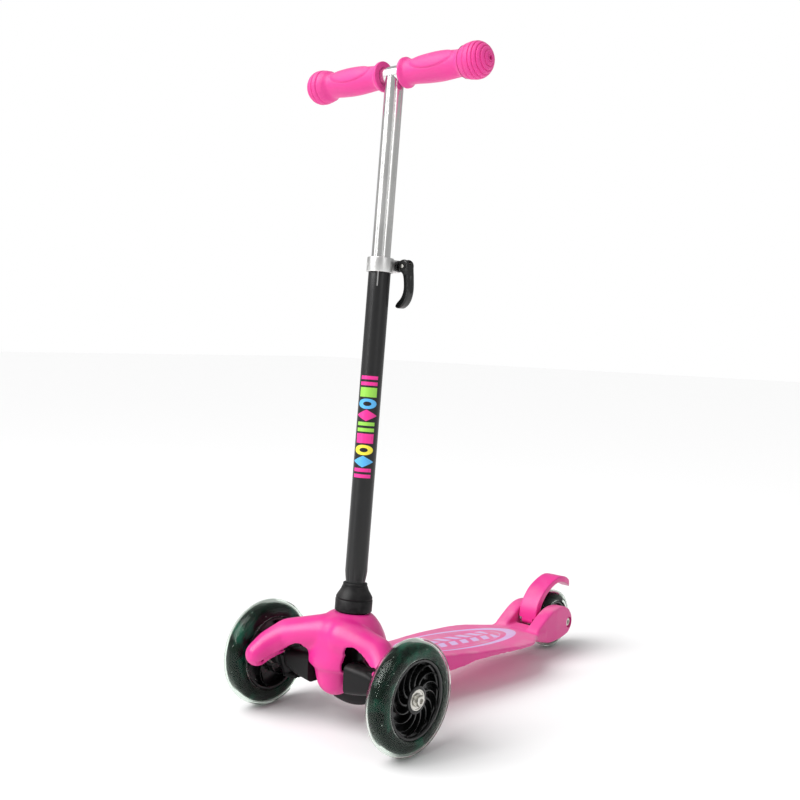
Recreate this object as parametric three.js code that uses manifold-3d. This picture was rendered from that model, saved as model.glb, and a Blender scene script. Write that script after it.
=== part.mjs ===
// A child's three-wheeled kick scooter: two lighted wheels in front on leaning kingpins, one
// braked wheel behind, a moulded footboard and a telescopic handlebar. Millimetres, +Z up.
// The rider faces -Y, and the rider's left is +X.
import * as THREE from "three";
import { mergeVertices } from "three/addons/utils/BufferGeometryUtils.js";
import Module from "manifold-3d";

const wasm = await Module();
wasm.setup();

// ---------------------------------------------------------------- driving dimensions
const MIDDLE_Y = 208.5; // halfway along the scooter, measured from the front axle

const FRONT_WHEEL_R = 60;
const FRONT_TRACK = 211.5;
const REAR_WHEEL_R = 39.6;
const REAR_AXLE_Y = 434.4;
const TYRE_WIDTH = 24;
const BEARING_R = 11;
const BEARING_WIDTH = 7;
const AXLE_R = 4;

const KINGPIN_X = 74;
const KINGPIN_Z = 60;
const KINGPIN_LEAN = THREE.MathUtils.degToRad(20); // the top of each kingpin leans forward
const STEER_ARM = 30;

const STEM_LEAN = THREE.MathUtils.degToRad(3.777); // the handlebar leans back towards the rider
const STEM_Y = 28.774;
const STEM_Z = 150;
const LOWER_TUBE_R = 12.2;
const UPPER_TUBE_R = 10.4;
const BAR_Z = 709.25;
const BAR_HALF = 128;
const GRIP_START = 15;

const DECK_SLOPE = [
  [100, 62.77],
  [330, 41.1],
];
const WALL = 3;
const BRAKE_PIN_Y = 384;
const BRAKE_PIN_Z = 46;
const GAP = 0.35;

// ---------------------------------------------------------------- shape helpers
const X = new THREE.Vector3(1, 0, 0);
const Y = new THREE.Vector3(0, 1, 0);
const Z = new THREE.Vector3(0, 0, 1);
const KINGPIN_AXIS = new THREE.Vector3(0, -Math.sin(KINGPIN_LEAN), Math.cos(KINGPIN_LEAN));
const SIDE_VIEW = new THREE.Matrix4().makeBasis(Y, Z, X);
const FRONT_VIEW = new THREE.Matrix4().makeBasis(X, Z, Y.clone().negate());

// A closed three.js geometry as a solid that can be joined and cut.
function solid(geometry) {
  const bare = new THREE.BufferGeometry();
  const loose = geometry.index ? geometry.toNonIndexed() : geometry;
  bare.setAttribute("position", loose.getAttribute("position"));
  const merged = mergeVertices(bare, 1e-3);
  const corners = [];
  for (let i = 0; i < merged.index.count; i += 3) {
    const [a, b, c] = [0, 1, 2].map((k) => merged.index.getX(i + k));
    if (a !== b && b !== c && c !== a) corners.push(a, b, c);
  }
  const vertProperties = merged.attributes.position.array;
  const triVerts = new Uint32Array(corners);
  return new wasm.Manifold(new wasm.Mesh({ numProp: 3, vertProperties, triVerts }));
}

function join(...shapes) {
  return shapes.reduce((whole, next) => whole.add(next));
}

function cut(body, ...tools) {
  return tools.reduce((left, tool) => left.subtract(tool), body);
}

function moved(geometry, x, y, z) {
  return geometry.translate(x, y, z);
}

// A matrix that stands a shape made along +Z at a point, along a direction.
function along(point, direction) {
  const turn = new THREE.Quaternion().setFromUnitVectors(Z, direction.clone().normalize());
  return new THREE.Matrix4().compose(point, turn, new THREE.Vector3(1, 1, 1));
}

const point = (x, y, z) => new THREE.Vector3(x, y, z);
const STEM_AXIS = point(0, Math.sin(STEM_LEAN), Math.cos(STEM_LEAN));

// A height above the floor as a distance up the leaning stem.
const up = (z) => (z - STEM_Z) / Math.cos(STEM_LEAN);

// A round rod between two distances along an axis through a point.
function rod(radius, from, to, origin = point(0, 0, 0), direction = Z, sides = 16) {
  const bar = new THREE.CylinderGeometry(radius, radius, to - from, sides);
  bar.rotateX(Math.PI / 2).translate(0, 0, (from + to) / 2);
  return solid(bar.applyMatrix4(along(origin, direction)));
}

// A round rod on the stem's own line, between two heights.
function onStem(r, z0, z1, sides = 24) {
  return rod(r, up(z0), up(z1), point(0, STEM_Y, STEM_Z), STEM_AXIS, sides);
}

function block(x0, x1, y0, y1, z0, z1) {
  const box = new THREE.BoxGeometry(x1 - x0, y1 - y0, z1 - z0);
  return solid(moved(box, (x0 + x1) / 2, (y0 + y1) / 2, (z0 + z1) / 2));
}

// A profile of [radius, height] pairs, listed up the outside and down the inside, turned round an axis.
function turned(profile, origin = point(0, 0, 0), direction = Z, sides = 36) {
  const points = [...profile, profile[0]].map(([r, h]) => new THREE.Vector2(r, h));
  const lathe = new THREE.LatheGeometry(points, sides).rotateX(Math.PI / 2);
  return solid(lathe.applyMatrix4(along(origin, direction)));
}

// An outline of [u, v] pairs pushed to a depth, then laid in a view.
function pushed(outline, from, to, view = new THREE.Matrix4()) {
  const shape = new THREE.Shape(outline.map(([u, v]) => new THREE.Vector2(u, v)));
  const depth = to - from;
  const plate = new THREE.ExtrudeGeometry(shape, { depth, bevelEnabled: false, curveSegments: 6 });
  return solid(plate.translate(0, 0, from).applyMatrix4(view));
}

// The same outline with rounded corners between its points.
function smooth(points, count) {
  const curve = new THREE.SplineCurve(points.map(([u, v]) => new THREE.Vector2(u, v)));
  return curve.getPoints(count).map((p) => [p.x, p.y]);
}

function mirrored(shape) {
  return shape.mirror([1, 0, 0]);
}

// A coil of round wire round +Z, moved to an axis.
function coil(radius, wire, turns, pitch, origin, direction) {
  const steps = [];
  for (let i = 0; i <= turns * 10; i++) {
    const angle = (i / 10) * 2 * Math.PI;
    steps.push(point(radius * Math.cos(angle), radius * Math.sin(angle), (i / 10) * pitch));
  }
  const ring = new THREE.Shape().absarc(0, 0, wire, 0, 2 * Math.PI, false);
  const path = new THREE.CatmullRomCurve3(steps);
  const winding = { steps: turns * 9, extrudePath: path, curveSegments: 2 };
  const spring = new THREE.ExtrudeGeometry(ring, winding);
  return solid(spring.applyMatrix4(along(origin, direction)));
}

// ---------------------------------------------------------------- finishes
const finish = (color, roughness, metalness = 0) => ({ color, roughness, metalness });
const PINK = finish(0xec4096, 0.42);
const SOFT_PINK = finish(0xee4a9c, 0.6);
const BLACK_PLASTIC = finish(0x1b1b1c, 0.45);
const BLACK_PAINT = finish(0x141414, 0.3);
const ALUMINIUM = finish(0xc9cac8, 0.3, 0.9);
const STEEL = finish(0x9fa1a3, 0.32, 0.9);
const SMOKE = finish(0x16372f, 0.2);

const scooter = new THREE.Group();
scooter.name = "kick_scooter";
scooter.position.y = -MIDDLE_Y;

function add(name, shape, look) {
  const made = shape.asOriginal().simplify(0.1).getMesh();
  const geometry = new THREE.BufferGeometry();
  const stride = made.numProp;
  const positions = new Float32Array(made.numVert * 3);
  for (let i = 0; i < made.numVert; i++) {
    positions.set(made.vertProperties.subarray(i * stride, i * stride + 3), i * 3);
  }
  geometry.setAttribute("position", new THREE.BufferAttribute(positions, 3));
  geometry.setIndex(new THREE.BufferAttribute(made.triVerts, 1));
  geometry.computeVertexNormals();
  const material = new THREE.MeshStandardMaterial({ ...look, flatShading: true });
  const mesh = new THREE.Mesh(geometry, material);
  mesh.name = name;
  scooter.add(mesh);
}

// ---------------------------------------------------------------- footboard
const boardHalfWidths = [
  [30, 42],
  [33, 62],
  [37, 95],
  [42, 140],
  [49, 176],
  [54.5, 209],
  [58.5, 250],
  [60.5, 280],
  [57.5, 308],
  [47, 330],
  [38, 348],
  [35, 376],
];
const boardEdge = smooth(boardHalfWidths, 20);
const boardOutline = [...boardEdge, ...boardEdge.map(([x, y]) => [-x, y]).reverse()];
const innerOutline = boardOutline.map(([x, y]) => [x - Math.sign(x) * WALL, y]);
const boardTop = [[42, 64.6], [75, 64.4], ...DECK_SLOPE, [352, 40.5], [376, 42]];
const boardUnder = [
  [376, 24],
  [363, 27],
  [336, 34],
  [290, 39],
  [205, 42],
  [177, 39],
  [140, 36],
  [98, 40],
  [62, 50],
  [42, 50],
];
const boardSide = pushed([...boardTop, ...boardUnder], -70, 70, SIDE_VIEW);
const boardSolid = pushed(boardOutline, 0, 110).intersect(boardSide);
const hollowTop = [[66, 60.6], [100, 59], [330, 37.3], [352, 36.5], [372, 37]];
const hollowSide = [...hollowTop, [372, 0], [66, 0]];
const boardHollow = pushed(innerOutline, 0, 110).intersect(pushed(hollowSide, -70, 70, SIDE_VIEW));
const crossRibs = [110, 160, 210, 260, 310].map((y) => block(-70, 70, y - 1.2, y + 1.2, 0, 110));
const longRib = block(-1.4, 1.4, 60, 376, 0, 110);
const ribs = join(longRib, ...crossRibs).intersect(boardSolid).subtract(block(-70, 70, 40, 380, 0, 38));

const cheekSide = [
  [352, 30],
  [388, 20],
  [414, 21.5],
  [436, 27],
  [444, 38],
  [441, 51],
  [430, 60.5],
  [416, 65],
  [400, 65.5],
  [384, 61],
  [366, 51],
  [352, 41],
];
const cheekOutline = smooth([...cheekSide, cheekSide[0]], 22).slice(0, -1);
const axle = (x0, x1, r) => rod(r, x0, x1, point(0, REAR_AXLE_Y, REAR_WHEEL_R), X);
const brakePin = (x0, x1, r) => rod(r, x0, x1, point(0, BRAKE_PIN_Y, BRAKE_PIN_Z), X, 14);
function forkCheek() {
  const taper = pushed([[15.5, 350], [34, 350], [34.5, 400], [31.5, 446], [15.5, 446]], 0, 110);
  const cheek = pushed(cheekOutline, 15.5, 36, SIDE_VIEW).intersect(taper);
  return cut(cheek, axle(10, 40, AXLE_R + GAP), axle(26, 40, 7.5));
}
const deckShell = cut(join(cut(boardSolid, boardHollow), ribs), block(-15.5, 15.5, 378, 460, 0, 110));
const deck = join(deckShell, forkCheek(), mirrored(forkCheek()));
add("deck", cut(deck, brakePin(-22, 22, 2.9), block(-15.5, 15.5, 375.5, 400, 35, 60)), PINK);

// ---------------------------------------------------------------- steering truck
const kingpinAt = (side) => point(side * KINGPIN_X, 0, KINGPIN_Z);
const onKingpin = (side, r, from, to, sides = 14) => rod(r, from, to, kingpinAt(side), KINGPIN_AXIS, sides);
const beamOutline = smooth([[-66, 74], [-40, 77], [0, 78.6], [40, 77], [66, 74]], 6);
const bellyPoints = [[66, 42], [52, 34], [26, 30.5], [0, 30], [-26, 30.5], [-52, 34], [-66, 42]];
const bellyOutline = smooth(bellyPoints, 12);
const beam = pushed([...beamOutline, ...bellyOutline], -14, 9, FRONT_VIEW);
const ears = [-1, 1].flatMap((side) => [onKingpin(side, 9, 15.4, 21), onKingpin(side, 9, -21, -15.4)]);
const earArms = [-1, 1].flatMap((side) => {
  const [a, b] = side > 0 ? [58, 74] : [-74, -58];
  return [block(a, b, -12, 5, 73.6, 77.6), block(a, b, -2, 14, 39, 43.5)];
});
const eyeRoom = [-1, 1].map((side) => onKingpin(side, 10.6, -15.2, 15.2));
const flange = block(-26, 26, 28, 60, 44, 49.6);
const housing = join(beam, onStem(16, 46, 122), flange, ...ears, ...earArms);
const boltHoles = [-1, 1].map((side) => onKingpin(side, 4.4, -30, 30));
const noseRoom = block(-24, 24, -20, 6, 20, 90);
add("truck_housing", cut(housing, ...eyeRoom, ...boltHoles, onStem(11, 66, 130), noseRoom), BLACK_PLASTIC);

function knuckle(side) {
  const eye = onKingpin(side, 9, -14.8, 9);
  const boss = rod(10, 7, 18, kingpinAt(side), X.clone().multiplyScalar(side));
  const back = point(0, Math.cos(KINGPIN_LEAN), Math.sin(KINGPIN_LEAN));
  const elbow = kingpinAt(side).addScaledVector(back, STEER_ARM);
  const arm = rod(4.2, 4, STEER_ARM + 2, kingpinAt(side).addScaledVector(KINGPIN_AXIS, -6), back, 12);
  const drop = rod(5, -29, -1, elbow, KINGPIN_AXIS, 16);
  const bores = [onKingpin(side, AXLE_R + GAP, -20, 20), axleAt(side, 79, 100, AXLE_R + GAP)];
  return cut(join(eye, boss, arm, drop), ...bores, rod(2, -30, -20, elbow, KINGPIN_AXIS, 12));
}
const axleAt = (side, x0, x1, r, sides = 12) =>
  rod(r, x0, x1, point(0, 0, FRONT_WHEEL_R), X.clone().multiplyScalar(side), sides);

for (const [name, side] of [["left", 1], ["right", -1]]) {
  const pin = join(onKingpin(side, AXLE_R, -23, 22), onKingpin(side, 6.5, 21.4, 25, 6));
  add("kingpin_" + name, pin, STEEL);
  const springFoot = kingpinAt(side).addScaledVector(KINGPIN_AXIS, 10.6);
  add("steer_spring_" + name, coil(5.6, 0.8, 2, 1.9, springFoot, KINGPIN_AXIS), STEEL);
  add("knuckle_" + name, knuckle(side), BLACK_PLASTIC);
}

const backward = point(0, Math.cos(KINGPIN_LEAN), Math.sin(KINGPIN_LEAN));
const rodEnd = (side) => kingpinAt(side).addScaledVector(backward, STEER_ARM);
const rodEyes = [-1, 1].map((side) => rod(6, -35, -29.4, rodEnd(side), KINGPIN_AXIS, 18));
const rodMiddle = rodEnd(0).addScaledVector(KINGPIN_AXIS, -32.2);
rodMiddle.x = 0;
const rodBar = rod(2.7, -KINGPIN_X, KINGPIN_X, rodMiddle, X, 12);
const rodBores = [-1, 1].map((side) => rod(2.4, -40, -25, rodEnd(side), KINGPIN_AXIS, 12));
add("tie_rod", cut(join(rodBar, ...rodEyes), ...rodBores), BLACK_PLASTIC);
for (const [name, side] of [["left", 1], ["right", -1]]) {
  const shank = rod(1.7, -36, -21, rodEnd(side), KINGPIN_AXIS, 12);
  add("tie_screw_" + name, join(shank, rod(3.6, -38, -35.4, rodEnd(side), KINGPIN_AXIS, 12)), STEEL);
}

// ---------------------------------------------------------------- moulded front cover
const DOME = [
  [44, 69.5],
  [44, 78],
  [42.5, 88],
  [39, 100],
  [33, 111],
  [26, 119],
  [21.5, 122.6],
];
const CAPSULE_STEPS = 3;

// A blunt tapered pod from one point to another, deeper from front to back than it is tall.
function pod(a, b, ra, rb, depth, shrink) {
  const axis = b.clone().sub(a);
  const length = axis.length();
  const profile = [[0.001, -(ra - shrink)]];
  for (let i = 1; i <= CAPSULE_STEPS; i++) {
    const angle = (i / CAPSULE_STEPS) * (Math.PI / 2);
    profile.push([(ra - shrink) * Math.sin(angle), -(ra - shrink) * Math.cos(angle)]);
  }
  for (let i = 0; i < CAPSULE_STEPS; i++) {
    const angle = (i / CAPSULE_STEPS) * (Math.PI / 2);
    profile.push([(rb - shrink) * Math.cos(angle), length + (rb - shrink) * Math.sin(angle)]);
  }
  profile.push([0.001, length + rb - shrink]);
  const points = profile.map(([r, h]) => new THREE.Vector2(r < 0.01 ? 0 : r, h));
  const shape = new THREE.LatheGeometry(points, 14).rotateX(Math.PI / 2).scale(1, depth, 1);
  const d = axis.normalize();
  const h = d.clone().cross(Z).normalize();
  const u = h.clone().cross(d);
  return solid(shape.applyMatrix4(new THREE.Matrix4().makeBasis(u, h, d).setPosition(a)));
}

const nosePod = (shrink) => pod(point(0, 4, 100), point(0, 3, 55), 23, 19, 1, shrink);
function bellAndArms(shrink) {
  const dome = DOME.map(([r, z]) => [r - shrink, up(z - shrink)]);
  const bellFoot = point(0, STEM_Y - 3, STEM_Z);
  const bell = turned([...dome, [0, dome[6][1]], [0, dome[0][1]]], bellFoot, STEM_AXIS, 24);
  const arms = [-1, 1].flatMap((side) => [
    pod(point(side * 12, 2, 100), point(side * 62, -14, 87), 18, 14.5, 1.3, shrink),
    pod(point(side * 62, -14, 87), point(side * 75, -41, 70), 14.5, 10.5, 1, shrink),
  ]);
  return join(bell, ...arms);
}
const windows = [-1, 1].flatMap((side) => {
  const [a, b] = side > 0 ? [24, 56] : [-56, -24];
  const [c, d] = side > 0 ? [50, 92] : [-92, -50];
  return [block(a, b, -45, 28, 0, 80), block(c, d, -26, 60, 0, 87)];
});
const noseBack = block(-26, 26, 5.4, 60, 20, 99);
const noseShell = cut(nosePod(0), bellAndArms(WALL).intersect(block(-60, 60, 5.4, 90, 0, 130)), noseBack);
const coverShell = join(cut(bellAndArms(0), bellAndArms(WALL)), noseShell);
add("front_cover", cut(coverShell, nosePod(WALL), onStem(16.5, 90, 140), ...windows), PINK);

// ---------------------------------------------------------------- wheels
function tyreProfile(bore, radius) {
  const half = TYRE_WIDTH / 2;
  const side = [
    [bore, half],
    [radius - 10.5, half],
    [radius - 4.6, half - 1.8],
    [radius - 1, half - 6],
    [radius, half - 10],
  ];
  return [...side.map(([r, h]) => [r, -h]), ...side.reverse()];
}

// Curved vanes fan out from the bearing seat to the rim and trail behind, like a turbine.
function vaneRing(count, from, to, thickness, depth) {
  const line = [0, 0.5, 1].map((t) => {
    const r = from + (to - from) * t;
    const a = -0.75 * t * t;
    return [r * Math.cos(a), r * Math.sin(a), a];
  });
  const outer = line.map(([x, y, a]) => [x - Math.sin(a) * thickness, y + Math.cos(a) * thickness]);
  const inner = line.map(([x, y]) => [x, y]).reverse();
  const vane = pushed([...inner, ...outer], 0, depth);
  return Array.from({ length: count }, (_, i) => vane.rotate([0, 0, (360 / count) * i]));
}

function hub(rim, seat, width, vanes) {
  const half = width / 2;
  const rimProfile = [[rim, -half], [rim, half], [rim - 4, half], [rim - 4, -half]];
  const ring = turned(rimProfile, point(0, 0, 0), Z, 28);
  const boss = rod(seat + 3.5, -half, half, point(0, 0, 0), Z, 16);
  const web = rod(rim - 2, -1.2, 1.2, point(0, 0, 0), Z, 28);
  const body = join(ring, boss, web, ...vaneRing(vanes, seat + 2, rim - 3, 2, half - 1.5));
  const bore = rod(seat + GAP, -half - 1, -half + BEARING_WIDTH + 0.2, point(0, 0, 0), Z, 16);
  const farBore = rod(seat + GAP, half - BEARING_WIDTH - 0.2, half + 1, point(0, 0, 0), Z, 16);
  return cut(body, bore, farBore, rod(seat - 2.5, -half, half, point(0, 0, 0), Z, 12));
}

function bearing(from, to) {
  const bore = rod(AXLE_R + GAP, from - 1, to + 1, point(0, 0, 0), Z, 12);
  return cut(rod(BEARING_R, from, to, point(0, 0, 0), Z, 16), bore);
}

function wheel(name, centre, direction, radius, rim, vanes) {
  const at = along(centre, direction);
  const place = (shape) => shape.transform(at.elements);
  const half = TYRE_WIDTH / 2 - 1;
  add(name + "_tyre", place(turned(tyreProfile(rim + GAP, radius), point(0, 0, 0), Z, 36)), SMOKE);
  add(name + "_hub", place(hub(rim, BEARING_R, 2 * half, vanes)), BLACK_PLASTIC);
  add(name + "_bearing_outer", place(bearing(half - BEARING_WIDTH, half)), STEEL);
  add(name + "_bearing_inner", place(bearing(-half, BEARING_WIDTH - half)), STEEL);
}

const wheelX = FRONT_TRACK / 2;
wheel("wheel_left", point(wheelX, 0, FRONT_WHEEL_R), X, FRONT_WHEEL_R, 41, 12);
wheel("wheel_right", point(-wheelX, 0, FRONT_WHEEL_R), X.clone().negate(), FRONT_WHEEL_R, 41, 12);
wheel("rear_wheel", point(0, REAR_AXLE_Y, REAR_WHEEL_R), X, REAR_WHEEL_R, 25, 6);

for (const [name, side] of [["left", 1], ["right", -1]]) {
  const headStart = wheelX + TYRE_WIDTH / 2 - 0.7;
  const bolt = join(axleAt(side, 81, headStart + 1, AXLE_R), axleAt(side, headStart, headStart + 4.2, 6.4, 6));
  add("axle_bolt_" + name, bolt, STEEL);
  const spacer = cut(axleAt(side, wheelX - 3.6, wheelX + 3.6, 6.4, 16), axleAt(side, 90, 120, AXLE_R + GAP));
  add("axle_spacer_" + name, spacer, ALUMINIUM);
}
add("rear_axle_bolt", join(axle(-28, 27.5, AXLE_R), axle(26.6, 30.6, 6.4)), STEEL);
add("rear_axle_nut", cut(axle(-31, -26.4, 6.6), axle(-40, -20, AXLE_R + GAP)), STEEL);
add("rear_axle_spacer", cut(axle(-3.6, 3.6, 6.4), axle(-10, 10, AXLE_R + GAP)), ALUMINIUM);

// ---------------------------------------------------------------- foot brake over the rear wheel
const fenderOuter = [
  [378.5, 47],
  [379.5, 60],
  [384, 70.5],
  [392, 80],
  [403, 88.5],
  [420, 95.8],
  [437, 99.5],
  [454, 96.8],
  [467, 90],
  [477, 81.5],
];
const fenderInner = [
  [475.6, 78.4],
  [464, 84],
  [452, 88.8],
  [437, 91.6],
  [422, 88],
  [409, 81.5],
  [399, 73],
  [392, 63],
  [389.2, 54],
  [389.6, 47],
];
const fenderHalf = [[13.5, 370], [13.5, 452], [10.5, 468], [5, 477]];
const fenderOtherHalf = fenderHalf.map(([x, y]) => [-x, y]).reverse();
const fenderSide = [...smooth(fenderOuter, 20), ...smooth(fenderInner, 20)];
const fender = pushed(fenderSide, -13.5, 13.5, SIDE_VIEW);
const fenderPlan = pushed([...fenderHalf, ...fenderOtherHalf], 0, 120);
const leverBody = join(fender.intersect(fenderPlan), brakePin(-13.5, 13.5, 5.6));
const springRoom = [brakePin(8.4, 14, 6.4), brakePin(-14, -8.4, 6.4)];
add("brake_lever", cut(leverBody, brakePin(-20, 20, 2.9), ...springRoom), PINK);
add("brake_pin", brakePin(-21.5, 21.5, 2.5), STEEL);
for (const [name, side] of [["left", 1], ["right", -1]]) {
  const foot = point(side * 9.4, BRAKE_PIN_Y, BRAKE_PIN_Z);
  add("brake_spring_" + name, coil(4.3, 0.7, 2, 1.8, foot, X.clone().multiplyScalar(side)), STEEL);
}

// ---------------------------------------------------------------- stem
const stemAt = (z) => point(0, STEM_Y, STEM_Z).addScaledVector(STEM_AXIS, up(z));
const stemTurned = (profile, sides = 24) =>
  turned(profile.map(([r, z]) => [r, up(z)]), point(0, STEM_Y, STEM_Z), STEM_AXIS, sides);

const COLLAR = [
  [20.5, 124],
  [20.5, 136.6],
  [19.7, 137.2],
  [19.7, 138],
  [20.2, 138.8],
  [18.2, 142.6],
  [15.4, 147],
  [14, 150.5],
  [13.4, 154.2],
];
add("socket_collar", stemTurned([...COLLAR, [11.1, 154.2], [11.1, 124]]), BLACK_PLASTIC);

const lowerProfile = [
  [10.6, 68],
  [10.6, 156],
  [11.5, 161],
  [LOWER_TUBE_R, 167],
  [LOWER_TUBE_R, 500],
  [10.8, 500],
  [10.8, 168],
  [9.2, 157],
  [9.2, 68],
];
const tubeSlot = block(-1.2, 1.2, 20, 50, 478, 510);
add("lower_tube", cut(stemTurned(lowerProfile), tubeSlot), BLACK_PAINT);

const clampY = 20; // the clamp bolt runs across, behind the tube
const clampZ = 501.5;
const clampCentre = stemAt(clampZ).add(point(0, clampY, 0));
const clampBand = stemTurned([
  [14.6, 493.5],
  [14.6, 509.5],
  [UPPER_TUBE_R + GAP, 509.5],
  [UPPER_TUBE_R + GAP, 500.6],
  [12.6, 500.4],
  [12.6, 493.5],
]);
const [cy, cz] = [clampCentre.y, clampCentre.z];
const onClampBolt = (r, x0, x1, sides = 14) => rod(r, x0, x1, clampCentre, X, sides);
const earBlock = block(-8, 8, cy - 9, cy + 6.5, cz - 7, cz + 7);
const clampEars = cut(earBlock, onStem(13.6, 490, 515), block(-1.3, 1.3, cy - 15, cy + 8, 485, 520));
const clampWhole = cut(join(clampBand, clampEars), block(-1.3, 1.3, cy - 9, cy + 9, 485, 520));
add("clamp_ring", cut(clampWhole, onClampBolt(3, -10, 10)), ALUMINIUM);
add("clamp_nut", cut(onClampBolt(6, -12.6, -8.4, 18), onClampBolt(2.9, -14, -5)), BLACK_PLASTIC);
add("cam_washer", cut(onClampBolt(6.4, 8.4, 12.2, 18), onClampBolt(2.9, 5, 15)), BLACK_PLASTIC);

const camAxis = clampCentre.clone().add(point(20, 0, 0));
const camPin = rod(2, -7, 7, camAxis, Y, 12);
const camHead = [[7, 0], [6.4, 4], [3.5, 6.6], [0, 7.4], [-4, 6.4], [-6.8, 3], [-7.2, -1], [-5.4, -5]];
const camInside = [[-0.5, -9], [1.4, -18], [1.2, -27], [-2, -34.5], [-8, -40.5], [-9.5, -44.5]];
const camOutside = [[-4.6, -46], [2, -42], [6.4, -35], [8.4, -26], [8.2, -14], [7.6, -6]];
const camOutline = [...camHead, ...camInside, ...camOutside];
const camPlate = pushed(smooth([...camOutline, camOutline[0]], 34).slice(0, -1), -5.5, 5.5, FRONT_VIEW);
const camShape = camPlate.translate([camAxis.x, camAxis.y, camAxis.z]);
const camRoom = block(camAxis.x - 9, camAxis.x + 5.6, cy - 3.1, cy + 3.1, cz - 5, cz + 9);
const pinBore = rod(2 + GAP, -10, 10, camAxis, Y, 12);
add("cam_lever", cut(camShape, camRoom, pinBore), BLACK_PLASTIC);
const boltEye = cut(rod(4.6, -2.6, 2.6, camAxis, Y, 16), pinBore);
add("clamp_bolt", cut(join(onClampBolt(2.5, -15, 16.2), boltEye), pinBore), STEEL);
add("cam_pin", camPin, STEEL);

const upperProfile = [[UPPER_TUBE_R, 350], [UPPER_TUBE_R, 708], [9, 708], [9, 350]];
const barCentre = stemAt(BAR_Z);
const bar = (r, x0, x1, sides = 24) => rod(r, x0, x1, barCentre, X, sides);
add("upper_tube", cut(stemTurned(upperProfile), bar(9.5 + GAP, -30, 30)), ALUMINIUM);
add("crossbar", cut(bar(9.5, -121, 121), bar(8, -130, 130)), ALUMINIUM);

const GRIP = [
  [16.4, GRIP_START],
  [16.4, 18.4],
  [13.5, 23.6],
  [13.4, 31],
  [15.3, 60],
  [14, 90],
  [17.2, 97],
  [19.3, 110.5],
  [18.2, 118],
  [13, 125.4],
  [4, BAR_HALF],
];
const gripProfile = [...GRIP, [2.4, BAR_HALF], [2.4, 121.6], [9.8, 121.6], [9.8, GRIP_START]];
for (const [name, side] of [["left", 1], ["right", -1]]) {
  add("grip_" + name, turned(gripProfile, barCentre, X.clone().multiplyScalar(side), 16), SOFT_PINK);
}

export default scooter;
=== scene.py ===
# %% [markdown]
# # A child's three-wheeled kick scooter
# The scooter stands on two lighted wheels in front and one braked wheel behind. A pink moulded
# board carries the feet, a pink moulded cover hides the steering truck, and a telescopic
# handlebar stands on the truck. The measured CAD model is loaded first. It gives every place,
# and each piece below is a finer skin for one of its parts, made in millimetres from the
# front axle and brought to metres at the very end.

# %% Load the measured frame
import math

import bmesh
import bpy
from mathutils import Matrix, Vector, geometry


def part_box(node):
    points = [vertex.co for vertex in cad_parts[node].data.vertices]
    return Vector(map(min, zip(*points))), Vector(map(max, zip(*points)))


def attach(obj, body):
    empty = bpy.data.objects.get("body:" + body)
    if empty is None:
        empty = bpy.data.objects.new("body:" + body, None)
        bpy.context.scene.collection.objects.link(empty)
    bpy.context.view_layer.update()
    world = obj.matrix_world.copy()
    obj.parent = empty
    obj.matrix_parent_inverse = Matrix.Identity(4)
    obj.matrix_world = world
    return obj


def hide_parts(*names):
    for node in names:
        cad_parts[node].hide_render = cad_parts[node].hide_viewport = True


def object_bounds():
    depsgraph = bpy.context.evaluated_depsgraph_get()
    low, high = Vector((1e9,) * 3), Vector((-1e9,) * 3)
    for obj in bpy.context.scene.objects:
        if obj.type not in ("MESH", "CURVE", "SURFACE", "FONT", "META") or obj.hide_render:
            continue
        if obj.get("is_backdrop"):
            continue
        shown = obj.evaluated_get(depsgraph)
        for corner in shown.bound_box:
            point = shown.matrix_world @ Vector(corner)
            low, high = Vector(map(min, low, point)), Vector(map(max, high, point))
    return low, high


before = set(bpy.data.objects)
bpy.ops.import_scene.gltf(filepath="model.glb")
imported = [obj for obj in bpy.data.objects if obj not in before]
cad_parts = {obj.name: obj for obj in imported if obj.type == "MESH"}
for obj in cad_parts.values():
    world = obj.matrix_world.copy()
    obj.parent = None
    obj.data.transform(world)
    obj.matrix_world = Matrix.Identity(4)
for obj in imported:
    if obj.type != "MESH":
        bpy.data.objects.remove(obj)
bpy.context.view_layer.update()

# %% [markdown]
# The shapes are easiest to think about in millimetres, with the front axle as the start of
# every length. The axle bolt of the CAD model says where that start is, and the joints say
# where the kingpins lean and where the handlebar slides.

# %% Places taken from the frame
MM = 0.001


def middle(node):
    low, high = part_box(node)
    return (low + high) / 2


FRONT_Y = middle("axle_bolt_left").y / MM
TO_METRES = Matrix.Scale(MM, 4) @ Matrix.Translation((0, FRONT_Y, 0))


def place_of(node):
    """The middle of a node in millimetres from the front axle."""
    spot = middle(node) / MM
    return Vector((spot.x, spot.y - FRONT_Y, spot.z))


X, Y, Z = Vector((1, 0, 0)), Vector((0, 1, 0)), Vector((0, 0, 1))
SIDES = {"left": 1, "right": -1}  # the rider's left is at +X
WHEEL_X = place_of("wheel_left_tyre").x
FRONT_R = place_of("wheel_left_tyre").z
REAR_WHEEL = place_of("rear_wheel_tyre")
BAR = place_of("crossbar")
BRAKE_PIN = place_of("brake_pin")
KINGPIN_LEAN = math.radians(20)
KINGPIN = Vector((0, -math.sin(KINGPIN_LEAN), math.cos(KINGPIN_LEAN)))
KINGPIN_BACK = Vector((0, math.cos(KINGPIN_LEAN), math.sin(KINGPIN_LEAN)))
STEM_LEAN = math.radians(3.777)
STEM = Vector((0, math.sin(STEM_LEAN), math.cos(STEM_LEAN)))
STEM_FOOT = Vector((0, 28.774, 150))
print(
    "front axle at", round(FRONT_Y, 1), "wheels at", round(WHEEL_X, 2), "bar at",
    [round(v, 1) for v in BAR]
)

# %% [markdown]
# Nearly all of a scooter is turned, pushed or moulded. Three small helpers follow those
# trades. `turned` spins a half profile round an axis, as a lathe would. `plate` extrudes an
# outline, as a stamped or cast plate would be. `lump` melts overlapping solids into one skin
# with a voxel remesh and relaxes it, which gives the soft blends of an injection moulding.

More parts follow.
